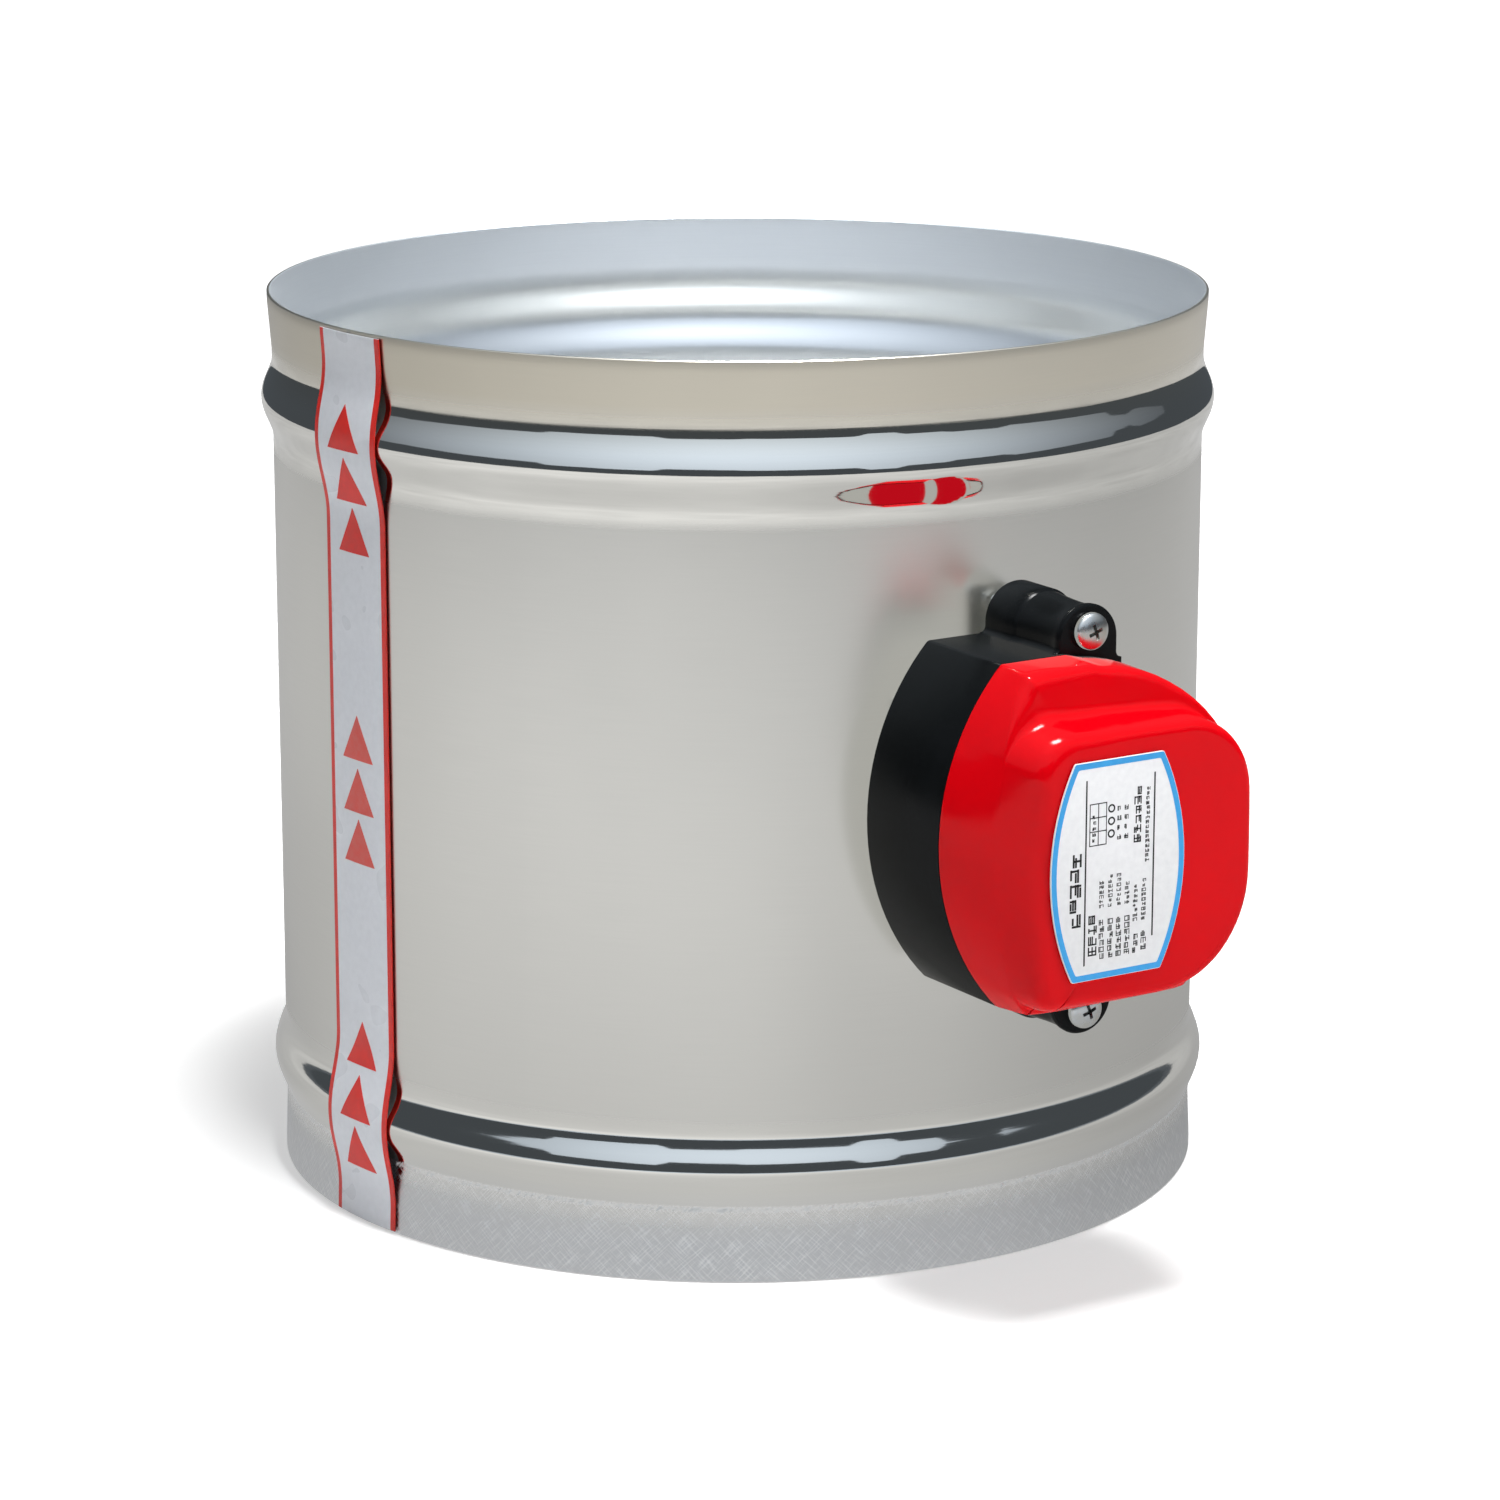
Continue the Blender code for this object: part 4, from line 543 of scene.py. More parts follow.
def linked(name: str, data: object) -> bpy.types.Object:
    """Make an object of some data and link it to the scene."""
    made = bpy.data.objects.new(name, data)
    bpy.context.scene.collection.objects.link(made)
    return made


def as_mesh(surface: bmesh.types.BMesh, name: str) -> Mesh:
    """Turn a surface into a mesh, and free the surface."""
    mesh = bpy.data.meshes.new(name)
    surface.to_mesh(mesh)
    surface.free()
    return mesh


def rivet_frame(bearing: float, rise: float) -> Matrix:
    """Return a rivet's frame on the duct's axis; its Z points out of the duct."""
    turn = Matrix.Rotation(bearing, 4, "Z") @ Matrix.Rotation(math.pi / 2, 4, "X")
    return Matrix.Translation((0.0, DUCT_AXIS_Y, SHAFT_HEIGHT + rise)) @ turn


def arc(radius: float, start: float, end: float, steps: int, centre: Point = (0.0, 0.0)) -> Outline:
    """List points along an arc, both ends included."""
    return [
        (
            centre[0] + radius * math.cos(start + (end - start) * step / steps),
            centre[1] + radius * math.sin(start + (end - start) * step / steps),
        )
        for step in range(steps + 1)
    ]


def softened(
    points: Sequence[Sequence[float]],
    radius: float,
    closed: bool = True,
    steps: int = 3,
    sharpest: float = math.radians(12.0),
) -> list[Vector]:
    """Round the corners of a line of points, in two or three dimensions.

    Args:
        points: The corners.
        radius: Radius of the rounding, less where the edges are too short.
        closed: Whether the last point joins the first.
        steps: Number of short edges at each rounded corner.
        sharpest: Corners that turn less than this stay as they are.

    Returns:
        The points of the softened line.
    """
    corners = [Vector(point) for point in points]
    result: list[Vector] = []
    for index, corner in enumerate(corners):
        after = corners[(index + 1) % len(corners)]
        to_before, to_after = corners[index - 1] - corner, after - corner
        at_end = not closed and index in (0, len(corners) - 1)
        turn = 0.0 if at_end else math.pi - to_before.angle(to_after)
        if at_end or turn < sharpest:
            result.append(corner)
            continue
        reach = min(radius * math.tan(turn / 2), to_before.length * 0.45, to_after.length * 0.45)
        first = corner + to_before.normalized() * reach
        last = corner + to_after.normalized() * reach
        for step in range(steps + 1):
            share = step / steps
            result.append(first * (1 - share) ** 2 + corner * (2 * share * (1 - share)) + last * share**2)
    return result


def sealed(surface: bmesh.types.BMesh, name: str, place: Matrix) -> Mesh:
    """Merge a surface's doubles, point its faces outwards, place it and keep it."""
    bmesh.ops.remove_doubles(surface, verts=surface.verts, dist=0.0000005)
    bmesh.ops.recalc_face_normals(surface, faces=surface.faces)
    mesh = as_mesh(surface, name)
    mesh.transform(place)
    return mesh


def lofted(name: str, rings: Sequence[Ring], place: Matrix, capped: bool = True) -> Mesh:
    """Skin a row of rings of equal size.

    Args:
        name: The mesh's name.
        rings: The rings, in order.
        place: Where the mesh goes.
        capped: Caps both ends; otherwise the last ring joins the first.

    Returns:
        A closed mesh.
    """
    surface = bmesh.new()
    rows = [[surface.verts.new(point) for point in ring] for ring in rings]
    pairs = list(zip(rows, rows[1:]))
    if not capped:
        pairs.append((rows[-1], rows[0]))
    for lower, upper in pairs:
        for index in range(len(lower)):
            after = (index + 1) % len(lower)
            surface.faces.new((lower[index], lower[after], upper[after], upper[index]))
    if capped:
        surface.faces.new(rows[0])
        surface.faces.new(rows[-1])
    return sealed(surface, name, place)


def turned(
    name: str, profile: Sequence[Sequence[float]], sides: int, place: Matrix, ring: bool = False
) -> Mesh:
    """Turn a profile of radius and height about the Z axis.

    Args:
        name: The mesh's name.
        profile: Radius and height of each point; radius 0 makes a pole.
        sides: Number of steps round the axis.
        place: Where the mesh goes.
        ring: Joins the last point to the first, for a ring about the axis.

    Returns:
        A closed mesh.
    """
    surface = bmesh.new()
    rows = []
    for radius, height in profile:
        count = 1 if radius < 1e-7 else sides
        turns = [2 * math.pi * step / sides for step in range(count)]
        rows.append(
            [
                surface.verts.new((radius * math.cos(turn), radius * math.sin(turn), height))
                for turn in turns
            ]
        )
    pairs = list(zip(rows, rows[1:]))
    if ring:
        pairs.append((rows[-1], rows[0]))
    for first, second in pairs:
        for index in range(sides):
            after = (index + 1) % sides
            around = [first[index % len(first)], first[after % len(first)]]
            around += [second[after % len(second)], second[index % len(second)]]
            corners = list(dict.fromkeys(around))
            if len(corners) > 2:
                surface.faces.new(corners)
    return sealed(surface, name, place)


def prism(
    name: str,
    outline: Callable[[float], Sequence[Sequence[float]]],
    low: float,
    high: float,
    place: Matrix,
    rounding: Point = (0.0, 0.0),
    steps: int = 4,
) -> Mesh:
    """Extrude an outline and round the edges of its ends.

    Args:
        name: The mesh's name.
        outline: Gives the outline's points for an inset.
        low: Level of the lower end.
        high: Level of the upper end.
        place: Where the mesh goes.
        rounding: Radius of the edges at the lower and the upper end.
        steps: Number of short edges in each rounding.

    Returns:
        A closed mesh.
    """
    levels: Outline = []
    for radius, level, side in ((rounding[0], low, 1), (rounding[1], high, -1)):
        curve = [(0.0, level)]
        if radius > 0:
            curve = [
                (
                    radius * (1 - math.sin(math.pi / 2 * step / steps)),
                    level + side * radius * (1 - math.cos(math.pi / 2 * step / steps)),
                )
                for step in range(steps + 1)
            ]
        levels += curve if side > 0 else curve[::-1]
    rings = [[Vector((point[0], point[1], level)) for point in outline(inset)] for inset, level in levels]
    return lofted(name, rings, place)


def discard(helper: bpy.types.Object) -> None:
    """Remove a helper object and its mesh."""
    mesh = helper.data
    bpy.data.objects.remove(helper)
    bpy.data.meshes.remove(mesh)


def carved(mesh: Mesh, tools: Sequence[Mesh], operation: str = "DIFFERENCE") -> Mesh:
    """Cut tools out of a mesh, or join them to it, and return the new mesh."""
    name = mesh.name
    host = linked(name, mesh)
    helpers = [host]
    for tool in tools:
        helper = linked(tool.name, tool)
        helpers.append(helper)
        boolean = host.modifiers.new("tool", "BOOLEAN")
        boolean.operation = operation
        boolean.solver = "EXACT"
        boolean.object = helper
    depsgraph = bpy.context.evaluated_depsgraph_get()
    made = bpy.data.meshes.new_from_object(host.evaluated_get(depsgraph), depsgraph=depsgraph)
    for helper in helpers:
        discard(helper)
    made.name = name
    return made


def rod(
    name: str,
    radius: float,
    low: float,
    high: float,
    place: Matrix,
    centre: Point = (0.0, 0.0),
    sides: int = 36,
) -> Mesh:
    """Make a plain round rod, for a bore or a post."""
    outline = arc(radius, 0.0, 2 * math.pi, sides, centre)[:-1]
    return prism(name, lambda inset: outline, low, high, place)


def show(
    mesh: Mesh,
    finishes: Sequence[Finish],
    body: Body,
    nodes: Sequence[str] = (),
    sharp: float = math.radians(35.0),
    choose: Callable[[bpy.types.MeshPolygon], int] | None = None,
) -> bpy.types.Object:
    """Show a mesh as a piece of the damper.

    Args:
        mesh: The mesh, in its place, named as the piece.
        finishes: The finishes, in the order of the mesh's material numbers.
        body: The body that carries the piece.
        nodes: CAD nodes that the piece stands for.
        sharp: Edges that turn more than this stay crisp.
        choose: Gives each face's place in the finishes; all take the first without it.

    Returns:
        The piece.
    """
    piece = linked(mesh.name, mesh)
    mesh.materials.clear()
    for finish in finishes:
        mesh.materials.append(finish.material())
    for face in mesh.polygons:
        face.material_index = choose(face) if choose else 0
    mesh.shade_smooth()
    mesh.set_sharp_from_angle(angle=sharp)
    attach(piece, body.value)
    if nodes:
        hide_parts(*nodes)
    LOG.info("%s: %d faces on %s", piece.name, len(mesh.polygons), body.value)
    return piece


# Geometry nodes


class SurfaceTree:
    """A Geometry Nodes tree with named sizes, run once on a mesh."""

    def __init__(self, name: str, sizes: dict[str, str]) -> None:
        """Open a tree; sizes gives each input's socket type by its name."""
        self.tree = bpy.data.node_groups.new(name, "GeometryNodeTree")
        face = self.tree.interface
        face.new_socket("Geometry", in_out="INPUT", socket_type="NodeSocketGeometry")
        for size, kind in sizes.items():
            face.new_socket(size, in_out="INPUT", socket_type=kind)
        face.new_socket("Material", in_out="INPUT", socket_type="NodeSocketMaterial")
        face.new_socket("Geometry", in_out="OUTPUT", socket_type="NodeSocketGeometry")
        self.source = add_node(self.tree, "NodeGroupInput")

    def close(self, geometry: Socket) -> None:
        """End the tree with realised instances and their material."""
        real = add_node(self.tree, "GeometryNodeRealizeInstances", {0: geometry})
        dressed = add_node(
            self.tree,
            "GeometryNodeSetMaterial",
            {"Geometry": real.outputs[0], "Material": self.source.outputs["Material"]},
        )
        add_node(self.tree, "NodeGroupOutput", {0: dressed.outputs[0]})

    def run(self, mesh: Mesh, values: dict[str, object]) -> Mesh:
        """Run the tree on a mesh.

        Args:
            mesh: The mesh that goes in.
            values: Each input's value by its name.

        Returns:
            A plain mesh, with nothing live on it.
        """
        carrier = linked(mesh.name, mesh)
        modifier = carrier.modifiers.new(self.tree.name, "NODES")
        modifier.node_group = self.tree
        for item in self.tree.interface.items_tree:
            if item.in_out == "INPUT" and item.name in values:
                modifier[item.identifier] = values[item.name]
        depsgraph = bpy.context.evaluated_depsgraph_get()
        made = bpy.data.meshes.new_from_object(carrier.evaluated_get(depsgraph), depsgraph=depsgraph)
        carrier.modifiers.remove(modifier)
        name = mesh.name
        discard(carrier)
        made.name = name
        return made


class RollingTree(SurfaceTree):
    """Rolls a flat blank round the duct's axis and follows its beads.

    The blank's X is the arc length from the bearing, its Y stands off the
    duct's outside, and its Z is the height.
    """

    SIZES = (
        "Radius",
        "Bearing",
        "Tent",
        "Length",
        "Upper Bead",
        "Lower Bead",
        "Upper Width",
        "Lower Width",
        "Bead Height",
        "Top Flare",
        "Bottom Flare",
        "Flare Length",
        "Lip",
        "Axis Y",
    )

    def __init__(self) -> None:
        """Build the tree."""
        super().__init__("roll_blank", {size: "NodeSocketFloat" for size in self.SIZES})
        tree = self.tree
        known = {size: self.source.outputs[size] for size in self.SIZES}
        where = add_node(tree, "GeometryNodeInputPosition").outputs[0]
        parts = add_node(tree, "ShaderNodeSeparateXYZ", {0: where})
        known |= {"x": parts.outputs[0], "y": parts.outputs[1], "z": parts.outputs[2]}
        steps: list[tuple] = [("stand", "ADD", "Radius", "y")]
        for bead, width in (("Upper Bead", "Upper Width"), ("Lower Bead", "Lower Width")):
            steps += [
                ("half", "MULTIPLY", width, 0.5),
                ("reach", "ADD", "half", "Tent"),
                ("offset", "SUBTRACT", "z", bead),
                ("distance", "ABSOLUTE", "offset"),
                ("raw_share", "DIVIDE", "distance", "reach"),
                ("share", "MINIMUM", "raw_share", 1.0),
                ("turn", "MULTIPLY", "share", math.pi),
                ("wave", "COSINE", "turn"),
                ("lifted", "ADD", "wave", 1.0),
                ("halved", "MULTIPLY", "lifted", 0.5),
                ("rise", "MULTIPLY", "halved", "Bead Height"),
                ("stand", "ADD", "stand", "rise"),
            ]
        steps += [("from_top", "SUBTRACT", "Length", "z"), ("slope", "SUBTRACT", "Flare Length", "Lip")]
        for distance, flare in (("from_top", "Top Flare"), ("z", "Bottom Flare")):
            steps += [
                ("held", "MAXIMUM", distance, "Lip"),
                ("run", "SUBTRACT", "Flare Length", "held"),
                ("kept", "MAXIMUM", "run", 0.0),
                ("flare_share", "DIVIDE", "kept", "slope"),
                ("flared", "MULTIPLY", "flare_share", flare),
                ("stand", "ADD", "stand", "flared"),
            ]
        steps += [
            ("swing", "DIVIDE", "x", "Radius"),
            ("angle", "ADD", "swing", "Bearing"),
            ("cosine", "COSINE", "angle"),
            ("sine", "SINE", "angle"),
            ("out_x", "MULTIPLY", "stand", "cosine"),
            ("flat_y", "MULTIPLY", "stand", "sine"),
            ("out_y", "ADD", "flat_y", "Axis Y"),
        ]
        work_out(tree, known, steps)
        place = add_node(
            tree, "ShaderNodeCombineXYZ", {0: known["out_x"], 1: known["out_y"], 2: known["z"]}
        )
        rolled = add_node(
            tree,
            "GeometryNodeSetPosition",
            {"Geometry": self.source.outputs["Geometry"], "Position": place.outputs[0]},
        )
        joined = add_node(
            tree,
            "GeometryNodeMergeByDistance",
            {"Geometry": rolled.outputs[0], "Distance": 0.000002},
        )
        # Rolling turns the blank inside out.
        turned_out = add_node(tree, "GeometryNodeFlipFaces", {0: joined.outputs[0]})
        self.close(turned_out.outputs[0])


class SeatingTree(SurfaceTree):
    """Seats a fastener on each point, turned to the point's own direction."""

    def __init__(self) -> None:
        """Build the tree."""
        super().__init__("seat_fasteners", {"Fastener": "NodeSocketObject", "Size": "NodeSocketFloat"})
        tree = self.tree
        pattern = add_node(tree, "GeometryNodeObjectInfo", {"Object": self.source.outputs["Fastener"]})
        facing = add_node(
            tree, "GeometryNodeInputNamedAttribute", {"Name": "facing"}, data_type="FLOAT_VECTOR"
        )
        turn = add_node(tree, "FunctionNodeAlignRotationToVector", {"Vector": facing.outputs[0]}, axis="Z")
        seated = add_node(
            tree,
            "GeometryNodeInstanceOnPoints",
            {
                "Points": self.source.outputs["Geometry"],
                "Instance": pattern.outputs["Geometry"],
                "Rotation": turn.outputs[0],
                "Scale": self.source.outputs["Size"],
            },
        )
        self.close(seated.outputs[0])

    def seat(
        self,
        name: str,
        fastener: Mesh,
        seats: Sequence[tuple[Vector, Vector]],
        finish: Finish,
    ) -> Mesh:
        """Seat a fastener at each place, facing its direction, in one mesh."""
        points = bpy.data.meshes.new(name)
        points.from_pydata([tuple(place) for place, _ in seats], [], [])
        facing = points.attributes.new("facing", "FLOAT_VECTOR", "POINT")
        for index, (_, direction) in enumerate(seats):
            facing.data[index].vector = direction.normalized()
        pattern = linked("fastener_pattern", fastener)
        values = {"Fastener": pattern, "Size": 1.0, "Material": finish.material()}
        made = self.run(points, values)
        discard(pattern)
        return made


# Sub-assemblies


@dataclass
class PanScrew:
    """Cross-recessed pan head screw; its seat is at z = 0 and its head is up."""

    head_radius: float
    head_height: float
    shank_radius: float
    length: float
    chamfer: float = 0.0004

    def mesh(self) -> Mesh:
        """Turn the screw and cut its cross recess."""
        head, height = self.head_radius, self.head_height
        dome = [
            (head * math.sin(turn), height * (0.42 + 0.58 * math.cos(turn)))
            for turn in (math.pi / 2 * step / 10 for step in range(11))
        ]
        skirt = [(head, height * 0.10), (head * 0.965, 0.0), (self.shank_radius, 0.0)]
        tip = [
            (self.shank_radius, self.chamfer - self.length),
            (self.shank_radius - self.chamfer, -self.length),
            (0.0, -self.length),
        ]
        screw = turned("screw", [*dome, *skirt, *tip], 40, Matrix.Identity(4))
        arm, width = head * 0.46, head * 0.10
        floor = height * 0.30
        recesses = []
        for quarter in (0, 1):
            rings = [
                [
                    Vector((side * arm * share, edge * width * share, level))
                    for side, edge in ((1, 1), (-1, 1), (-1, -1), (1, -1))
                ]
                for share, level in ((0.55, floor), (1.25, height * 1.4))
            ]
            place = Matrix.Rotation(math.pi / 2 * quarter + math.radians(20.0), 4, "Z")
            recesses.append(lofted("recess", rings, place))
        return carved(screw, recesses)


@dataclass
class DuctSection:
    """Duct section, rolled from sheet, with two beads and flared rims."""

    length: float = 0.1892
    radius: float = DUCT_RADIUS
    sheet: float = 0.0007
    upper_bead: float = UPPER_BEAD
    lower_bead: float = LOWER_BEAD
    upper_width: float = 0.0169
    lower_width: float = 0.0177
    bead_height: float = 0.0024
    top_flare: float = 0.0008
    bottom_flare: float = 0.0004
    flare_length: float = 0.012
    lip: float = 0.0015
    rim_rounding: float = 0.00018
    columns: int = 168
    rows: int = 205
    shaft_hole: float = 0.0076
    rivet_hole: float = 0.0019

    def values(self, bearing: float, tent: float, finish: Finish) -> dict[str, object]:
        """Return the rolling tree's inputs for a blank at a bearing."""
        given = {"Bearing": bearing, "Tent": tent, "Axis Y": DUCT_AXIS_Y}
        own = [size for size in RollingTree.SIZES if size not in given]
        sizes = {size: getattr(self, size.lower().replace(" ", "_")) for size in own}
        return sizes | given | {"Material": finish.material()}

    def blank(self) -> Mesh:
        """Build the flat sheet: outside up, round the top rim and inside down."""
        edge = self.rim_rounding
        heights = [edge + (self.length - 2 * edge) * row / (self.rows - 1) for row in range(self.rows)]
        section = [(0.0, height) for height in heights]
        section += [(-edge, self.length), (edge - self.sheet, self.length)]
        section += [(-self.sheet, height) for height in reversed(heights)]
        section += [(edge - self.sheet, 0.0), (-edge, 0.0), section[0]]
        surface = bmesh.new()
        grid = []
        for column in range(self.columns + 1):
            along = 2 * math.pi * self.radius * column / self.columns
            grid.append([surface.verts.new((along, off, height)) for off, height in section])
        for left, right in zip(grid, grid[1:]):
            for index in range(len(section) - 1):
                surface.faces.new((left[index], left[index + 1], right[index + 1], right[index]))
        mesh = as_mesh(surface, "rolled_duct")
        return mesh

    def build(self, rolling: RollingTree, rivets: Sequence[tuple[float, float]]) -> None:
        """Roll the blank, pierce it for the shaft and the rivets, and show it."""
        rolled = rolling.run(self.blank(), self.values(0.0, 0.0, STAINLESS))
        span = 1.3 * self.radius
        tools = [rod("shaft_bore", self.shaft_hole, -span, span, SHAFT_FRAME)]
        tools += [rod("rivet_bore", self.rivet_hole, 0.08, 0.12, rivet_frame(*rivet)) for rivet in rivets]
        rolled = carved(rolled, tools)

        def faces_inwards(face: bpy.types.MeshPolygon) -> int:
            """Return 1 for a face that looks at the duct's axis."""
            centre = face.center - Vector((0.0, DUCT_AXIS_Y, 0.0))
            return int(centre.x * face.normal.x + centre.y * face.normal.y < 0)

        finishes = [STAINLESS, INSIDE_STAINLESS]
        show(rolled, finishes, Body.DUCT, ["duct_shell"], choose=faces_inwards)


@dataclass
class FlowTape:
    """Flow tape: a film with red edges and nine arrow heads, from rim to rim."""

    width: float = 0.0206
    thickness: float = 0.0003
    tent: float = 0.0085
    bearing: float = math.radians(-90.0 - 83.7)
    margin: float = 0.0006
    border: float = 0.0014
    arrow_height: float = 0.0094
    arrow_width: float = 0.0106
    ink: float = 0.00003
    apexes: tuple[float, ...] = (0.1742, 0.1633, 0.1527, 0.1093, 0.0981, 0.0873, 0.0438, 0.0324, 0.0215)
    rows: int = 170

    def film(self, length: float) -> Mesh:
        """Build the flat film; its two borders carry the red ink."""
        half = self.width / 2
        inner = [-half + self.border + (self.width - 2 * self.border) * step / 10 for step in range(11)]
        across = [-half, *inner, half]
        outer = FIT_GAP + self.thickness - self.ink
        section = [(x, outer) for x in across] + [(x, FIT_GAP) for x in reversed(across)]
        rings = [
            [Vector((x, y, self.margin + (length - 2 * self.margin) * row / self.rows)) for x, y in section]
            for row in range(self.rows + 1)
        ]
        return lofted("flow_tape_film", rings, Matrix.Identity(4))

    def border_at(self, face: bpy.types.MeshPolygon) -> int:
        """Return 1 for a face of the film that carries a red border."""
        across = math.atan2(face.center.y - DUCT_AXIS_Y, face.center.x) - self.bearing
        across = (across + math.pi) % (2 * math.pi) - math.pi
        return int(abs(across) * DUCT_RADIUS > self.width / 2 - self.border)

    def arrow(self, apex: float) -> Mesh:
        """Build one flat arrow head of ink, in rows so that it can bend."""
        steps = 10
        low, high = FIT_GAP + self.thickness - self.ink, FIT_GAP + self.thickness + self.ink
        rings = []
        for step in range(steps + 1):
            share = max(step / steps, 0.01)
            half, height = self.arrow_width / 2 * share, apex - self.arrow_height * step / steps
            rings.append(
                [
                    Vector((x, y, height))
                    for x, y in (
                        (-half, high),
                        (-half / 3, high),
                        (half / 3, high),
                        (half, high),
                        (half, low),
                        (-half, low),
                    )
                ]
            )
        return lofted("arrow_head", rings, Matrix.Identity(4))

    def build(self, rolling: RollingTree, duct: DuctSection) -> None:
        """Roll the film and its arrow heads round the duct, and show them."""
        bearing = self.bearing
        values = duct.values(bearing, self.tent, TAPE_GREY)
        film = rolling.run(self.film(duct.length), values)
        finishes = [TAPE_GREY, TAPE_RED]
        show(film, finishes, Body.DUCT, ["flow_tape"], choose=self.border_at)
        # The middle group of arrow heads is printed in a paler red.
        for group, finish in enumerate((TAPE_RED, TAPE_PALE_RED, TAPE_RED)):
            joined = bmesh.new()
            for apex in self.apexes[group * 3 : group * 3 + 3]:
                joined.from_mesh(self.arrow(apex))
            mesh = as_mesh(joined, f"flow_arrow_heads_{group + 1}")
            rolled = rolling.run(mesh, duct.values(bearing, self.tent, finish))
            show(rolled, [finish], Body.DUCT)


@dataclass
class Blade:
    """Blade with its pressed rib, rubber seal, clamps and screws."""

    radius: float = 0.0920
    sheet: float = 0.0015
    level: float = 0.0053
    rib_radius: float = 0.074
    rib_width: float = 0.010
    rib_height: float = 0.0022
    seal_lip: float = 0.0020
    seal_overlap: float = 0.0040
    seal_skin: float = 0.0015
    shaft_radius: float = 0.005
    clamp_spacing: float = 0.110
    clamp_width: float = 0.014
    clamp_sheet: float = 0.0015
    clamp_wing: float = 0.0095
    sides: int = 160

    def disc(self) -> Mesh:
        """Turn the blade, with its rib pressed through the sheet."""
        top = self.level + self.sheet
        half = self.rib_width / 2
        rib = [
            (self.rib_radius + half * share, self.rib_height * (1 + math.cos(math.pi * share)) / 2)
            for share in (step / 8 - 1 for step in range(17))
        ]
        upper = [(0.0, 0.0), (0.02, 0.0), (0.045, 0.0), *rib, (self.radius, 0.0)]
        profile = [(radius, top + rise) for radius, rise in upper]
        profile += [(radius, self.level + rise) for radius, rise in reversed(upper)]
        return turned("blade_sheet", profile, self.sides, BLADE_FRAME)

    def seal(self) -> Mesh:
        """Turn the seal's U section and notch it for the shaft."""
        top, root = self.level + self.sheet + FIT_GAP, self.radius + FIT_GAP
        bottom, mouth = self.level - FIT_GAP, self.radius - self.seal_overlap
        lip = self.radius + self.seal_lip
        loop = [
            (lip, top + self.seal_skin),
            (lip, bottom - self.seal_skin),
            (mouth, bottom - self.seal_skin),
            (mouth, bottom),
            (root, bottom),
            (root, top),
            (mouth, top),
            (mouth, top + self.seal_skin),
        ]
        ring = turned("edge_seal", softened(loop, 0.0006), self.sides, BLADE_FRAME, ring=True)
        notch = rod("notch", self.shaft_radius + 2 * FIT_GAP, -0.1, 0.1, SHAFT_FRAME)
        return carved(ring, [notch])

    def clamp(self, name: str, along: float) -> Mesh:
        """Bend one saddle strap over the shaft."""
        inner = self.shaft_radius + FIT_GAP
        outer = inner + self.clamp_sheet
        wing = self.level - FIT_GAP
        reach = outer + self.clamp_wing
        outline = [
            (reach, wing),
            (inner, wing),
            *arc(inner, 0.0, -math.pi, 16),
            (-inner, wing),
            (-reach, wing),
            (-reach, wing - self.clamp_sheet),
            (-outer, wing - self.clamp_sheet),
            *arc(outer, -math.pi, 0.0, 16),
            (outer, wing - self.clamp_sheet),
            (reach, wing - self.clamp_sheet),
        ]
        soft = softened(outline, 0.0005)
        half = self.clamp_width / 2
        return prism(name, lambda inset: soft, -along - half, half - along, SHAFT_FRAME)

    def build(self, seating: SeatingTree) -> None:
        """Show the blade's pieces."""
        show(self.disc(), [PRESSED_STAINLESS], Body.BLADE, ["blade_disc"])
        show(self.seal(), [RUBBER], Body.BLADE, ["blade_seal"])
        half = self.clamp_spacing / 2
        for name, along in (("rear", half), ("front", -half)):
            strap = self.clamp(f"saddle_strap_{name}", along)
            show(strap, [ZINC], Body.BLADE, [f"blade_clamp_{name}"])
        across = self.shaft_radius + FIT_GAP + self.clamp_sheet + self.clamp_wing / 2
        seat = self.level + self.sheet + FIT_GAP
        seats = [
            (BLADE_FRAME @ Vector((side * across, along, seat)), Vector((0.0, 0.0, 1.0)))
            for along in (half, -half)
            for side in (-1, 1)
        ]
        screw = PanScrew(0.0037, 0.0022, 0.0020, seat - self.level + 0.0049).mesh()
        mesh = seating.seat("blade_pan_screws", screw, seats, ZINC)
        names = [f"blade_screw_{index}" for index in range(1, 5)]
        show(mesh, [ZINC], Body.BLADE, names)


@dataclass
class BladeSeats:
    """The two angle half rings that the closed blade seals on."""

    outer: float = 0.09792
    reach: float = 0.0078
    height: float = 0.0085
    sheet: float = 0.0010
    end_angle: float = math.radians(17.0)
    lower_seat: float = 0.0032
    upper_seat: float = 0.0089
    steps: int = 72

    def ring(self, name: str, side: int) -> Mesh:
        """Roll one half ring; side +1 lies under the blade and -1 over it."""
        seat = self.lower_seat if side > 0 else self.upper_seat
        foot, web = seat - side * self.height, seat - side * self.sheet
        loop = [
            (self.outer, seat),
            (self.outer, foot),
            (self.outer - self.sheet, foot),
            (self.outer - self.sheet, web),
            (self.outer - self.reach, web),
            (self.outer - self.reach, seat),
        ]
        section = softened(loop, 0.0004, steps=3)
        sweep = math.pi - 2 * self.end_angle
        middle = 0.0 if side > 0 else math.pi
        rings = []
        for step in range(self.steps + 1):
            turn = middle - sweep / 2 + sweep * step / self.steps
            rings.append(
                [Vector((point.x * math.cos(turn), point.x * math.sin(turn), point.y)) for point in section]
            )
        return lofted(name, rings, BLADE_FRAME)

    def build(self) -> None:
        """Show both half rings."""
        for name, node, side in (
            ("seat_ring_lower", "stop_ring_lower", 1),
            ("seat_ring_upper", "stop_ring_upper", -1),
        ):
            show(self.ring(name, side), [PRESSED_STAINLESS], Body.DUCT, [node])


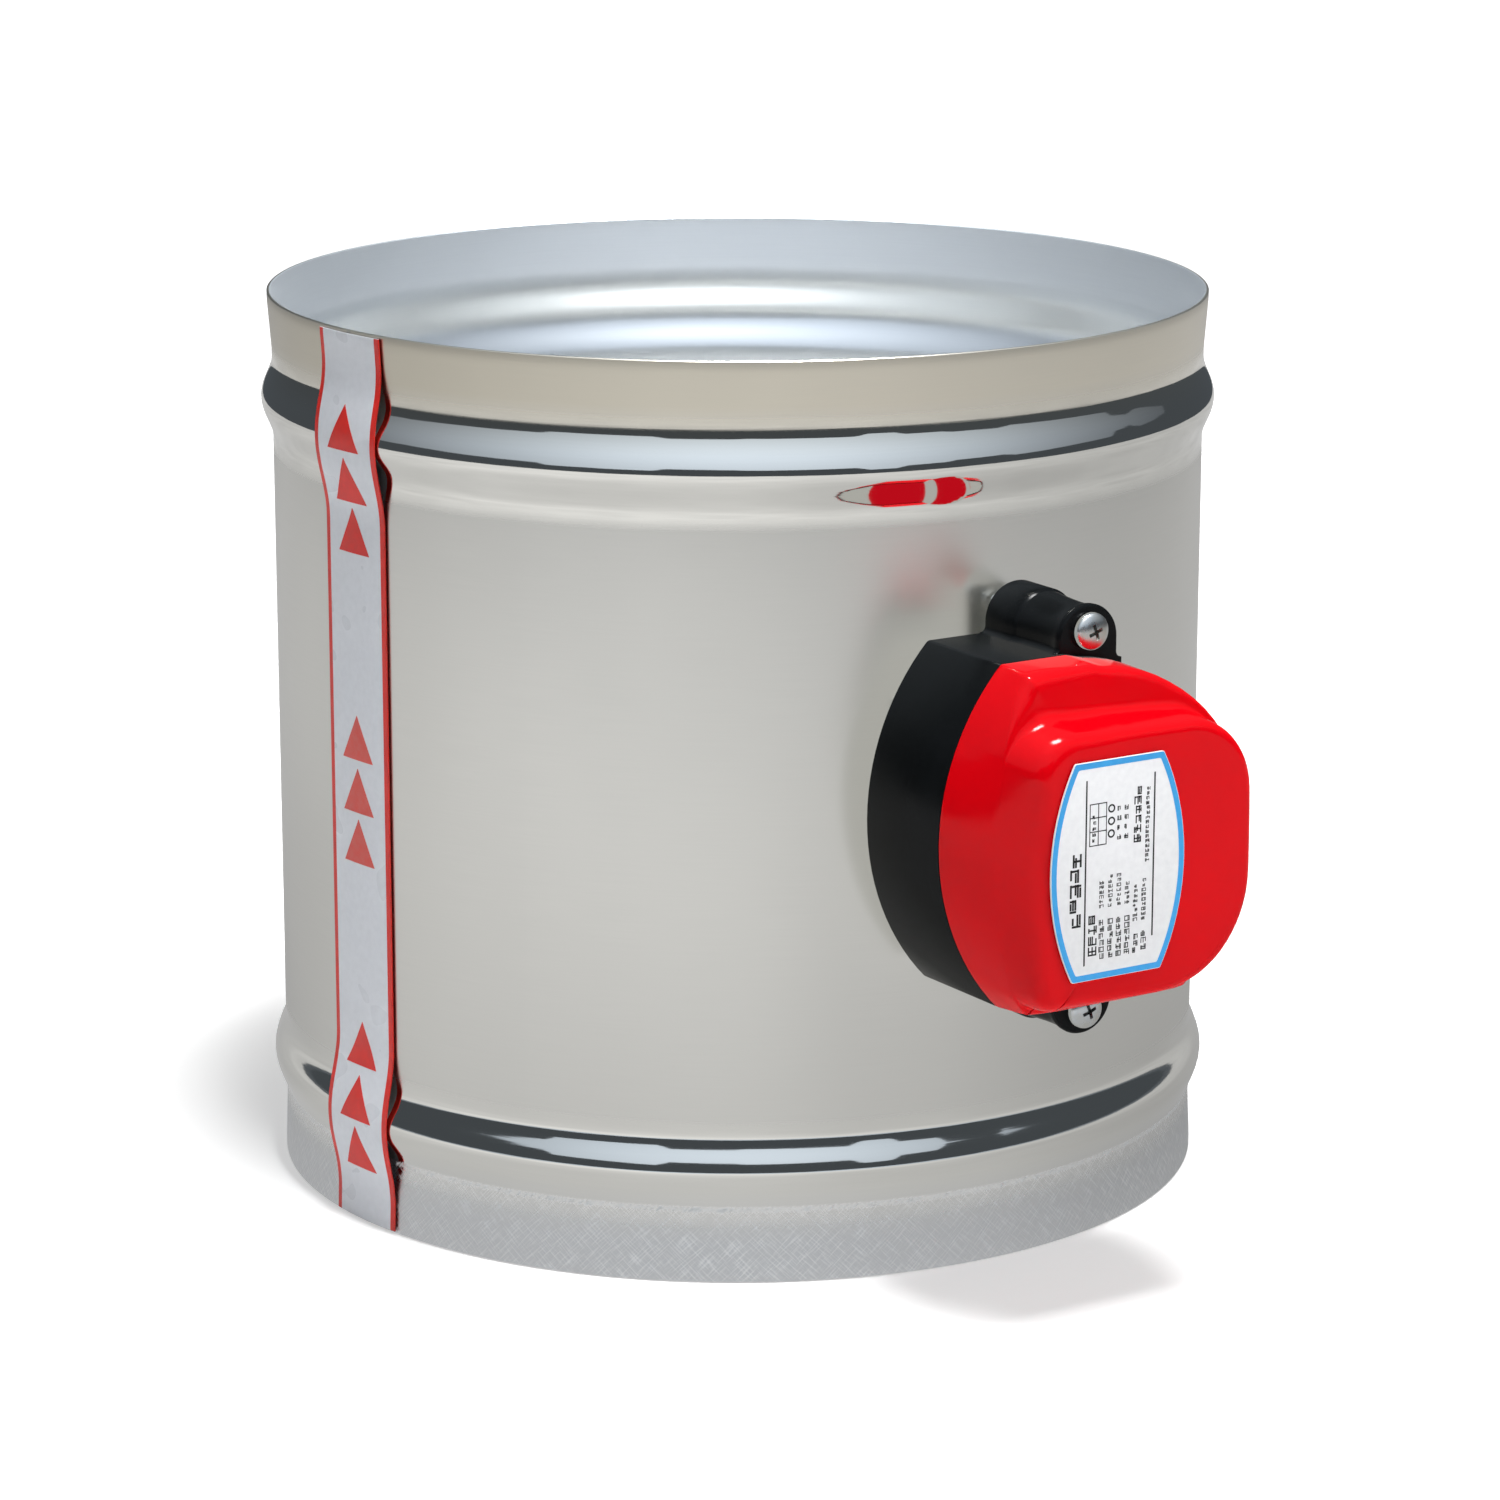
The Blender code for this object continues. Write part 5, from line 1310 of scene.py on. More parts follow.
@dataclass
class ShaftLine:
    """Cross shaft with its square end, its two bushes and its clip."""

    radius: float = 0.005
    square: float = 0.0070
    square_start: float = 0.1075
    front: float = 0.1156
    rear: float = -0.1053
    clip_level: float = 0.1014
    clip_sheet: float = 0.0010
    clip_radius: float = 0.0085
    groove_depth: float = 0.0008
    clip_opening: float = math.radians(62.0)
    slot_width: float = 0.0012
    slot_depth: float = 0.0015
    bush_radius: float = 0.0073
    bush_flange_radius: float = 0.0105
    bush_flange: float = 0.0016
    bush_barb: float = 0.0009
    barb_top: float = 0.0975
    bush_inner_length: float = 0.0022

    def shaft(self) -> Mesh:
        """Turn the shaft, then form its square and its indicator slot."""
        groove = self.radius - self.groove_depth
        near, far = FIT_GAP - self.clip_level, -self.clip_level - self.clip_sheet - FIT_GAP
        chamfer = 0.0005
        profile = [
            (0.0, self.square_start),
            (self.radius - chamfer, self.square_start),
            (self.radius, self.square_start - chamfer),
            (self.radius, near),
            (groove, near),
            (groove, far),
            (self.radius, far),
            (self.radius, self.rear + chamfer),
            (self.radius - chamfer, self.rear),
            (0.0, self.rear),
        ]
        body = turned("cross_shaft", profile, 56, SHAFT_FRAME)
        half = self.square / 2
        outline = [(half, half), (-half, half), (-half, -half), (half, -half)]
        soft = softened(outline, 0.0005)
        square = prism("square", lambda inset: soft, self.square_start - 0.004, self.front, SHAFT_FRAME)
        body = carved(body, [square], "UNION")
        wide, thin = 2 * self.radius, self.slot_width / 2
        slot = [(wide, thin), (-wide, thin), (-wide, -thin), (wide, -thin)]
        cutter = prism(
            "slot", lambda inset: slot, self.rear - 0.001, self.rear + self.slot_depth, SHAFT_FRAME
        )
        return carved(body, [cutter])

    def bush(self, name: str, side: int) -> Mesh:
        """Turn one snap-in bush; side +1 is the actuator's side."""
        bore = self.radius + FIT_GAP
        barb = self.bush_radius + FIT_GAP + self.bush_barb
        seat = DUCT_RADIUS + FIT_GAP
        inner_end = self.barb_top - self.bush_inner_length
        loop = [
            (self.bush_flange_radius, seat + self.bush_flange),
            (self.bush_flange_radius, seat),
            (self.bush_radius, seat),
            (self.bush_radius, self.barb_top),
            (barb, self.barb_top),
            (self.bush_radius, inner_end),
            (bore, inner_end),
            (bore, seat + self.bush_flange),
        ]
        turn = Matrix.Identity(4) if side > 0 else Matrix.Rotation(math.pi, 4, "X")
        return turned(name, softened(loop, 0.0003), 64, SHAFT_FRAME @ turn, ring=True)

    def clip(self) -> Mesh:
        """Stamp the retaining ring."""
        inner = self.radius - self.groove_depth + FIT_GAP
        start, end = self.clip_opening / 2, 2 * math.pi - self.clip_opening / 2
        outline = arc(self.clip_radius, start, end, 40) + arc(inner, end, start, 40)
        soft = softened(outline, 0.0004)
        place = SHAFT_FRAME @ Matrix.Rotation(-math.pi / 2, 4, "Z")
        low = -self.clip_level - self.clip_sheet
        return prism("retaining_ring", lambda inset: soft, low, -self.clip_level, place)

    def build(self) -> None:
        """Show the shaft line's pieces."""
        show(self.shaft(), [TURNED], Body.BLADE, ["blade_shaft"])
        show(self.clip(), [TURNED], Body.BLADE, ["shaft_clip"])
        for name, side in (("front", 1), ("rear", -1)):
            bush = self.bush(f"snap_bush_{name}", side)
            show(bush, [NATURAL_NYLON], Body.DUCT, [f"shaft_bush_{name}"])


@dataclass
class HousingShape:
    """Outlines that the actuator's mouldings share, about the shaft."""

    top: float = 0.0390
    bottom: float = -0.0298
    left: float = -0.0364
    right: float = 0.0313
    left_arc: float = 0.049
    right_arc: float = 0.0383
    steps: int = 28
    rear: float = 0.105
    parting: float = 0.1302
    wall: float = 0.0022
    floor: float = 0.0025
    lug_across: float = -0.0009
    lug_screw_offset: float = 0.0384
    lug_rise: float = 0.0019

    @property
    def middle(self) -> float:
        """Height of the housing's middle above the shaft."""
        return (self.top + self.bottom) / 2

    def outline(self, inset: float = 0.0) -> Outline:
        """Return the housing's outline: right arc, flat top, left arc, flat foot."""
        top, low = self.top - inset, self.bottom + inset
        radius = self.right_arc - inset
        crown = self.right - self.right_arc
        right = arc(radius, math.asin(low / radius), math.pi / 2, self.steps, (crown, 0.0))
        right[-1] = (crown, top)
        side = self.left_arc - inset
        centre = (self.left + inset + side, self.middle)
        high_turn = math.pi - math.asin((top - self.middle) / side)
        low_turn = math.pi - math.asin((low - self.middle) / side)
        left = arc(side, high_turn, low_turn, self.steps, centre)
        return [*right, *left]

    def soft_outline(self, inset: float = 0.0) -> list[Vector]:
        """Return the outline with its three corners a little rounded."""
        return softened(self.outline(inset), 0.0012, steps=4, sharpest=math.radians(20.0))

    def edge_level(self, across: float, side: int) -> float:
        """Return the height of the housing's top (side 1) or foot (side -1) at a place across."""
        if side < 0:
            return self.bottom
        beyond = max(across - (self.right - self.right_arc), 0.0)
        return math.sqrt(self.right_arc**2 - beyond**2) + self.top - self.right_arc

    def lug_screws(self) -> list[Point]:
        """Return the places of the two long screws."""
        return [(self.lug_across, self.middle + side * self.lug_screw_offset) for side in (1, -1)]


@dataclass
class ActuatorBase:
    """Black moulded rear half: a tray with two long stepped lugs."""

    lug_setback: float = 0.0007
    lug_foot: float = 0.0013
    # Depth from the rear face, and the lug's radius there: a collar, a waist
    # and a flange round the screw.
    lug_stations: tuple[Point, ...] = (
        (0.0000, 0.00720),
        (0.0002, 0.00745),
        (0.0006, 0.00760),
        (0.0096, 0.00760),
        (0.0100, 0.00742),
        (0.0104, 0.00712),
        (0.0130, 0.00690),
        (0.0160, 0.00672),
        (0.0190, 0.00664),
        (0.0210, 0.00668),
        (0.0224, 0.00686),
        (0.0231, 0.00706),
        (0.0239, 0.00710),
        (0.0243, 0.00695),
        (0.0245, 0.00665),
    )
    screw_radius: float = 0.0023
    edge: float = 0.0007
    post_radius: float = 0.0030
    post_screw: float = 0.0017
    posts: tuple[Point, ...] = ((-0.0250, -0.0140), (0.0190, -0.0165), (0.0145, 0.0245))
    post_level: float = 0.1209
    idler: Point = (-0.0080364, 0.0194014)
    boss_radius: float = 0.0038
    boss_level: float = 0.1108
    grommet_hole: float = 0.0049
    grommet_reach: Point = (-0.0084, 0.0060)
    shaft_bore: float = 0.0053
    axle_bore: float = 0.0018
    post_bore_depth: float = 0.0077
    bore_start: float = 0.09
    grommet_level: float = 0.1237

    def lug(self, shape: HousingShape, side: int) -> Mesh:
        """Loft one lug: a round end on flanks that spread where they meet the tray."""
        middle = shape.middle + side * (shape.lug_screw_offset - shape.lug_rise)
        rings = []
        for depth, radius in self.lug_stations:
            line = arc(radius, 0.0, math.pi, 32, (shape.lug_across, 0.0))
            ring = [(x, middle + side * y) for x, y in line]
            for flank in (-1, 1):
                level = shape.edge_level(shape.lug_across + flank * radius, side)
                foot = [
                    (
                        shape.lug_across + flank * (radius + self.lug_foot * (1 - math.cos(turn))),
                        level + side * self.lug_foot * (1 - math.sin(turn)),
                    )
                    for turn in (math.pi / 2 * step / 6 for step in range(7))
                ]
                foot.append((foot[-1][0], shape.middle))
                ring += foot if flank < 0 else foot[::-1]
            rings.append([Vector((x, y, shape.rear + depth)) for x, y in ring])
        return lofted("lug", rings, SHAFT_FRAME)

    def build(self, shape: HousingShape) -> None:
        """Mould the tray, join its lugs and bore it, and show it."""
        tray = prism(
            "rear_housing",
            shape.soft_outline,
            shape.rear,
            shape.parting,
            SHAFT_FRAME,
            (self.edge, 0.0002),
        )
        solid = carved(tray, [self.lug(shape, side) for side in (1, -1)], "UNION")
        cavity = prism(
            "cavity",
            lambda inset: shape.outline(shape.wall),
            shape.rear + shape.floor,
            shape.parting + 0.01,
            SHAFT_FRAME,
        )
        solid = carved(solid, [cavity])
        low = shape.rear + shape.floor / 2
        posts = [
            rod("post", self.post_radius, low, self.post_level, SHAFT_FRAME, place, 44)
            for place in self.posts
        ]
        boss = rod("boss", self.boss_radius, low, self.boss_level, SHAFT_FRAME, self.idler, 44)
        posts.append(boss)
        solid = carved(solid, posts, "UNION")
        beyond = shape.parting + 0.02
        bores = [rod("bore", self.shaft_bore, self.bore_start, beyond, SHAFT_FRAME)]
        bores.append(rod("bore", self.axle_bore, low, beyond, SHAFT_FRAME, self.idler))
        bores += [
            rod("bore", self.post_screw, self.post_level - self.post_bore_depth, beyond, SHAFT_FRAME, place)
            for place in self.posts
        ]
        bores += [
            rod("bore", self.screw_radius, self.bore_start, beyond, SHAFT_FRAME, place)
            for place in shape.lug_screws()
        ]
        sideways = Matrix.Translation((shape.right, 0.0, self.grommet_level))
        turn = SHAFT_FRAME @ sideways @ Matrix.Rotation(math.pi / 2, 4, "Y")
        bores.append(rod("bore", self.grommet_hole, *self.grommet_reach, turn))
        solid = carved(solid, bores)
        piece = show(solid, [BLACK_GLOSS], Body.DUCT, ["actuator_base"], math.radians(30.0))
        # Metal mirrors the studio's glowing card, a painted reflection, in the tray's place.
        piece.visible_glossy = False


@dataclass
class ActuatorCover:
    """Red moulded front half: slanted sides, a shoulder and a raised face."""

    depth: float = 0.0178
    face_left: float = -0.0246
    face_right: float = 0.0257
    face_top: float = 0.0270
    face_bottom: float = -0.0268
    corners: tuple[float, ...] = (0.0215, 0.0150, 0.0080, 0.0045)
    rays: int = 120
    # Bearings where the shoulder starts, is full, starts to fade and ends.
    shoulder: tuple[float, ...] = (0.35, 0.79, 1.98, 2.50)
    foot_shoulder: tuple[float, ...] = (-2.44, -2.05, -1.13, -0.79)
    soft_left: float = 0.0060
    # Depth share, then how far the sides, the top and the foot have moved
    # from the housing outline to the face, and the rounding there.
    stations: tuple[tuple[float, ...], ...] = (
        (0.535, 0.500, 0.020, 0.030, 0.0024),
        (0.560, 0.530, 0.800, 0.720, 0.0026),
        (1.000, 1.000, 1.000, 1.000, 0.0024),
    )

    def face_outline(self, inset: float = 0.0) -> Outline:
        """Return the raised face's outline with its four corner radii."""
        left, right = self.face_left + inset, self.face_right - inset
        top, bottom = self.face_top - inset, self.face_bottom + inset
        places = ((right, bottom), (right, top), (left, top), (left, bottom))
        points: Outline = []
        for quarter, ((x, y), corner) in enumerate(zip(places, self.corners)):
            radius = max(corner - inset, 0.001)
            start = -math.pi / 2 + quarter * math.pi / 2
            middle = start + math.pi / 4
            reach = radius * math.sqrt(2.0)
            centre = (x - reach * math.cos(middle), y - reach * math.sin(middle))
            points += arc(radius, start, start + math.pi / 2, 16, centre)
        return points

    def turns(self, shape: HousingShape) -> list[float]:
        """Return the bearings of the skin's columns: even ones and each corner's."""
        corners = [*shape.soft_outline(), *(Vector(point) for point in self.face_outline())]
        wanted = [math.atan2(corner[1], corner[0]) for corner in corners]
        wanted += [2 * math.pi * (step + 0.5) / self.rays - math.pi for step in range(self.rays)]
        kept: list[float] = []
        for turn in sorted(wanted):
            if not kept or turn - kept[-1] > 0.003:
                kept.append(turn)
        return kept

    def fade(self, turn: float, limits: Sequence[float]) -> float:
        """Return a bearing's share of a shoulder, which rises and falls smoothly."""
        start, full, fading, end = limits
        rise, fall = (turn - start) / (full - start), (end - turn) / (end - fading)
        share = min(max(min(rise, fall), 0.0), 1.0)
        return share * share * (3 - 2 * share)

    def crossing(self, outline: Sequence[Sequence[float]], turn: float) -> Vector:
        """Return where a ray from the shaft's axis crosses an outline."""
        ray = Vector((math.cos(turn), math.sin(turn)))
        corners = [Vector((point[0], point[1])) for point in outline]
        best = 0.0
        for start, end in zip(corners, corners[1:] + corners[:1]):
            edge = end - start
            spread = ray.cross(edge)
            if abs(spread) < 1e-12:
                continue
            along, share = start.cross(edge) / spread, start.cross(ray) / spread
            if along > best and -1e-6 <= share <= 1 + 1e-6:
                best = along
        return ray * best

    def skin(self, shape: HousingShape, inset: float, depth: float) -> list[Ring]:
        """Return one skin's rings, from the parting line to the face."""
        outlines = (shape.soft_outline(inset), self.face_outline(inset), self.face_outline(inset + 0.010))
        low = shape.parting + FIT_GAP
        columns = []
        for turn in self.turns(shape):
            start, end, middle = (self.crossing(outline, turn) for outline in outlines)
            upright = self.fade(turn, self.shoulder if turn > 0 else self.foot_shoulder)
            line = [Vector((*start, low)), Vector((*start, low + 0.0008))]
            for share, side, top, foot, _ in self.stations:
                moved = side + ((top if turn > 0 else foot) - side) * upright
                line.append(Vector((*start.lerp(end, moved), low + share * depth)))
            line.append(Vector((*middle, low + depth)))
            column = line[:2]
            for index, station in enumerate(self.stations, start=2):
                bend = line[index - 1 : index + 2]
                softness = station[-1] + self.soft_left * max(-math.cos(turn), 0.0) ** 2
                column += softened(bend, softness, False, 6, sharpest=-1.0)[1:-1]
            columns.append([*column, line[-1]])
        return [[column[row] for column in columns] for row in range(len(columns[0]))]

    def build(self, shape: HousingShape) -> None:
        """Loft the cover's two skins into one shell and show it."""
        outer = self.skin(shape, 0.0, self.depth)
        inner = self.skin(shape, shape.wall, self.depth - shape.wall)
        shell = lofted("front_cover", [*reversed(outer), *inner], SHAFT_FRAME)
        show(shell, [RED_GLOSS], Body.DUCT, ["actuator_cover"], math.radians(38.0))


@dataclass
class RatingLabel:
    """Rating label: a film with a blue border and plain printed marks."""

    centre: Point = (-0.0071, 0.0006)
    height: float = 0.0436
    half_width: float = 0.0159
    side_arc: float = 0.047
    level: float = 0.1486
    thickness: float = 0.00036
    ink: float = 0.00002
    border: float = 0.0012
    margin: float = 0.00012
    seed: int = 11

    def outline(self, inset: float = 0.0) -> list[Vector]:
        """Return the film's outline, with straight ends and bulging sides."""
        half, radius = self.height / 2 - inset, self.side_arc - inset
        turn = math.asin(half / radius)
        centre = self.half_width - inset - radius
        right = arc(radius, -turn, turn, 24, (centre, 0.0))
        left = [(-x, -y) for x, y in right]
        return softened([*right, *left], 0.0006, steps=4)

    def place(self) -> Matrix:
        """Return the label's own frame."""
        return SHAFT_FRAME @ Matrix.Translation((*self.centre, 0.0))

    def frame_ring(self) -> Mesh:
        """Print the blue border."""
        low = self.level + self.thickness
        high = low + self.ink
        rings = []
        for inset, level in (
            (self.margin, low),
            (self.margin, high),
            (self.margin + self.border, high),
            (self.margin + self.border, low),
        ):
            rings.append([Vector((*point, level)) for point in self.outline(inset)])
        return lofted("label_border", rings, self.place(), capped=False)

    def glyph(
        self, chance: random.Random, left: float, low: float, width: float, height: float
    ) -> list[tuple[float, float, float, float]]:
        """Return one generic mark of a few strokes, read along the label's height."""
        stroke = max(min(width, height) * 0.17, 0.15)
        lines = sorted(chance.sample((0.0, 0.22, 0.43, 0.64, 0.86), chance.choice((3, 3, 4))))
        bars = []
        for line in lines:
            start = chance.choice((0.0, 0.0, 0.2))
            end = chance.choice((1.0, 1.0, 0.75))
            across = left + line * width
            bars.append((across, low + start * height, across + stroke, low + end * height))
        for line in chance.sample((0.0, 0.4, 0.8), chance.choice((1, 2))):
            up = low + line * height
            bars.append((left + lines[0] * width, up, left + lines[-1] * width + stroke, up + stroke))
        return bars

    def marks(self) -> list[tuple[float, float, float, float]]:
        """List the printed bars as left, bottom, right and top, in millimetres."""
        chance = random.Random(self.seed)
        bars = [(-7.95, -18.7, -7.60, 18.2), (8.25, -14.9, 8.60, 17.9)]
        # Left edge, then the lowest and highest mark of a line's bold and its fine print.
        lines = (
            (-4.4, -17.8, -9.4, -7.6, -1.6),
            (-2.3, -17.8, -9.4, -7.6, -0.4),
            (-0.3, -17.8, -9.4, -7.6, -0.6),
            (1.7, -17.8, -9.4, -7.6, -2.8),
            (3.7, -17.8, -13.0, -11.4, -3.0),
            (5.7, -17.4, -13.0, -11.4, -2.2),
        )
        # Left edge, width, lowest and highest mark, the marks' pitch and their share of it.
        columns = [(-11.4, 2.6, -10.7, 4.4, 3.0, 0.88), (-6.9, 2.0, -16.9, -6.5, 2.1, 0.86)]
        for left, low, high, fine_low, fine_high in lines:
            columns.append((left, 1.25, low, high, 1.35, 0.82))
            columns.append((left, 1.05, fine_low, fine_high, 0.95, 0.70))
        columns += [
            (6.4, 0.95, 0.2, 15.8, 0.95, 0.72),
            (3.6, 1.7, 4.4, 17.6, 1.9, 0.84),
            (-0.4, 0.9, 5.6, 13.4, 1.9, 0.5),
            (1.3, 0.9, 5.6, 13.4, 1.9, 0.5),
            (-6.3, 0.8, 5.8, 12.6, 1.15, 0.6),
        ]
        for left, width, low, high, pitch, share in columns:
            for step in range(int((high - low) / pitch + 0.01)):
                bars += self.glyph(chance, left, low + step * pitch, width, pitch * share)
        for across in (-7.0, -5.0, -3.1):
            bars.append((across, 5.0, across + 0.20, 13.4))
        for line in range(4):
            up = 5.0 + line * 2.75
            bars.append((-7.0, up, -2.90, up + 0.20))
        return bars

    def print_marks(self) -> Mesh:
        """Print the bars and the terminals' small rings in black ink."""
        low = self.level + self.thickness
        high = low + self.ink
        surface = bmesh.new()
        for left, bottom, right, top in self.marks():
            size = ((right - left) / 1000.0, (top - bottom) / 1000.0, high - low)
            middle = ((left + right) / 2000.0, (bottom + top) / 2000.0, (low + high) / 2)
            made = bmesh.ops.create_cube(surface, size=1.0)["verts"]
            bmesh.ops.scale(surface, vec=size, verts=made)
            bmesh.ops.translate(surface, vec=middle, verts=made)
        for row in range(3):
            centre = (-0.0018, 0.0070 + row * 0.0025)
            rings = [
                [Vector((*point, level)) for point in arc(radius, 0.0, 2 * math.pi, 24, centre)[:-1]]
                for radius, level in (
                    (0.00085, low),
                    (0.00085, high + 0.000005),
                    (0.00052, high + 0.000005),
                    (0.00052, low),
                )
            ]
            surface.from_mesh(lofted("ring", rings, Matrix.Identity(4), capped=False))
        mesh = as_mesh(surface, "label_marks")
        mesh.transform(self.place())
        return mesh

    def build(self) -> None:
        """Show the film and its print."""
        film = prism(
            "label_film_sheet",
            self.outline,
            self.level,
            self.level + self.thickness,
            self.place(),
            (0.0, 0.00008),
            2,
        )
        show(film, [LABEL_WHITE], Body.DUCT, ["rating_label"])
        show(self.frame_ring(), [LABEL_BLUE], Body.DUCT)
        show(self.print_marks(), [LABEL_INK], Body.DUCT)


@dataclass
class Mounting:
    """Bracket between duct and actuator, its rivets and the long screws."""

    sheet: float = 0.0015
    half_web: float = 0.015
    foot: float = 0.0095
    foot_height: float = 0.041
    strip_width: float = 0.010
    strip_height: float = 0.0828
    level: float = 0.1032
    rivet_radius: float = 0.0016
    rivet_spacing: float = 0.0330
    grommet_neck: float = 0.0046
    shaft_hole: float = 0.0056
    screw_hole: float = 0.0023
    rivet_hole: float = 0.0019

    def rivets(self, shape: HousingShape) -> list[tuple[float, float]]:
        """Return each rivet's bearing and height above the shaft."""
        bearing = math.asin((self.half_web + self.foot * 0.55) / (DUCT_RADIUS + FIT_GAP))
        return [
            (side * bearing, shape.middle + rise * self.rivet_spacing / 2)
            for rise in (1, -1)
            for side in (-1, 1)
        ]

    def bracket(self, shape: HousingShape) -> Mesh:
        """Bend the hat section, join its strip and pierce it."""
        lower = DUCT_RADIUS + FIT_GAP
        upper = lower + self.sheet
        inner_half = self.half_web - self.sheet
        leg, inner = math.asin(self.half_web / upper), math.asin(inner_half / lower)
        end = (self.half_web + self.foot) / lower
        half = [(self.half_web, self.level + self.sheet)]
        half += [
            (upper * math.sin(turn), upper * math.cos(turn))
            for turn in (leg + (end - leg) * step / 8 for step in range(9))
        ]
        half += [
            (lower * math.sin(turn), lower * math.cos(turn))
            for turn in (end + (inner - end) * step / 8 for step in range(9))
        ]
        half.append((inner_half, self.level))
        outline = half + [(-x, y) for x, y in reversed(half)]
        soft = softened(outline, 0.0010)
        place = SHAFT_FRAME @ Matrix.Translation((0.0, shape.middle, 0.0))
        place = place @ Matrix.Rotation(math.pi / 2, 4, "X")
        reach = self.foot_height / 2
        hat = prism("hat_bracket", lambda inset: soft, -reach, reach, place)
        x, y = self.strip_width / 2, self.strip_height / 2
        corners = softened([(x, y), (-x, y), (-x, -y), (x, -y)], 0.002, steps=5)
        shift = SHAFT_FRAME @ Matrix.Translation((shape.lug_across, shape.middle, 0.0))
        strip = prism("strip", lambda inset: corners, self.level, self.level + self.sheet, shift)
        made = carved(hat, [strip], "UNION")
        tools = [rod("bore", self.shaft_hole, 0.1, 0.11, SHAFT_FRAME)]
        tools += [rod("bore", self.screw_hole, 0.1, 0.11, SHAFT_FRAME, at) for at in shape.lug_screws()]
        tools += [
            rod("bore", self.rivet_hole, 0.095, 0.104, rivet_frame(*rivet))
            for rivet in self.rivets(shape)
        ]
        return carved(made, tools)

    def rivet(self) -> Mesh:
        """Turn one blind rivet; its seat is at z = 0 and its head is up."""
        radius, head = self.rivet_radius, 0.0032
        profile = [
            (0.0, 0.0004),
            (0.0009, 0.0004),
            (0.0010, 0.0011),
            (head * 0.62, 0.0010),
            (head * 0.92, 0.00055),
            (head, 0.00015),
            (head, 0.0),
            (radius, 0.0),
            (radius, -0.00365),
            (radius * 1.35, -0.0044),
            (radius * 1.2, -0.0050),
            (radius * 0.6, -0.0054),
            (0.0, -0.0054),
        ]
        return turned("rivet", profile, 32, Matrix.Identity(4))

    def grommet(self, shape: HousingShape, level: float) -> Mesh:
        """Turn the cable grommet in the housing's right wall."""
        neck = self.grommet_neck
        lip_radius = neck + 2 * FIT_GAP
        wall_arc = shape.right_arc - shape.wall
        lip_top = math.sqrt(wall_arc**2 - lip_radius**2) - shape.right_arc - FIT_GAP
        loop = [
            (0.0038, 0.0030),
            (0.0062, 0.0006),
            (neck, 0.0006),
            (neck, lip_top),
            (lip_radius, lip_top),
            (neck, lip_top - 0.0010),
            (0.0030, lip_top - 0.0010),
            (0.0030, 0.0030),
        ]
        place = SHAFT_FRAME @ Matrix.Translation((shape.right, 0.0, level))
        place = place @ Matrix.Rotation(math.pi / 2, 4, "Y")
        return turned("cable_entry", softened(loop, 0.0005), 56, place, ring=True)

    def build(self, shape: HousingShape, base: ActuatorBase, seating: SeatingTree) -> None:
        """Show the bracket, its rivets, the long screws and the grommet."""
        show(self.bracket(shape), [ZINC], Body.DUCT, ["mount_bracket"])
        seat = DUCT_RADIUS + 2 * FIT_GAP + self.sheet
        seats = []
        for bearing, rise in self.rivets(shape):
            out = Vector((math.sin(bearing), -math.cos(bearing), 0.0))
            at = Vector((0.0, DUCT_AXIS_Y, SHAFT_HEIGHT + rise)) + out * seat
            seats.append((at, out))
        rivets = seating.seat("blind_rivets", self.rivet(), seats, TURNED)
        names = [f"bracket_rivet_{index}" for index in range(1, 5)]
        show(rivets, [TURNED], Body.DUCT, names)
        lug_face = shape.parting - base.lug_setback + FIT_GAP
        screw = PanScrew(0.0037, 0.0024, 0.0020, lug_face - self.level + 0.0012).mesh()
        seats = [
            (SHAFT_FRAME @ Vector((*at, lug_face)), Vector((0.0, -1.0, 0.0)))
            for at in shape.lug_screws()
        ]
        screws = seating.seat("housing_pan_screws", screw, seats, ZINC)
        names = ["housing_screw_upper", "housing_screw_lower"]
        show(screws, [ZINC], Body.DUCT, names)
        entry = self.grommet(shape, base.grommet_level)
        show(entry, [RUBBER], Body.DUCT, ["cable_grommet"])


@dataclass
class InnerWorks:
    """The actuator's inner pieces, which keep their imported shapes."""

    def dress(self) -> None:
        """Give each carried node its finish."""
        finishes: dict[str, Finish] = {
            "gear_plate": ZINC,
            "motor_can": ZINC,
            "motor_pinion": TURNED,
            "idler_axle": TURNED,
            "idler_gear": NATURAL_NYLON,
            "output_gear": NATURAL_NYLON,
            "limit_cam": BLACK_GLOSS,
            "limit_switch_open": SWITCH_DARK,
            "limit_switch_closed": SWITCH_DARK,
            "terminal_block": TERMINAL_GREEN,
        }
        for kind, count in (("plate_screw", 3), ("motor_screw", 2)):
            for index in range(1, count + 1):
                finishes[f"{kind}_{index}"] = ZINC
        for name, finish in finishes.items():
            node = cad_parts[name]
            for slot in node.material_slots:
                slot.material = finish.material()
            LOG.info("%s: carried node in %s", name, finish.name)


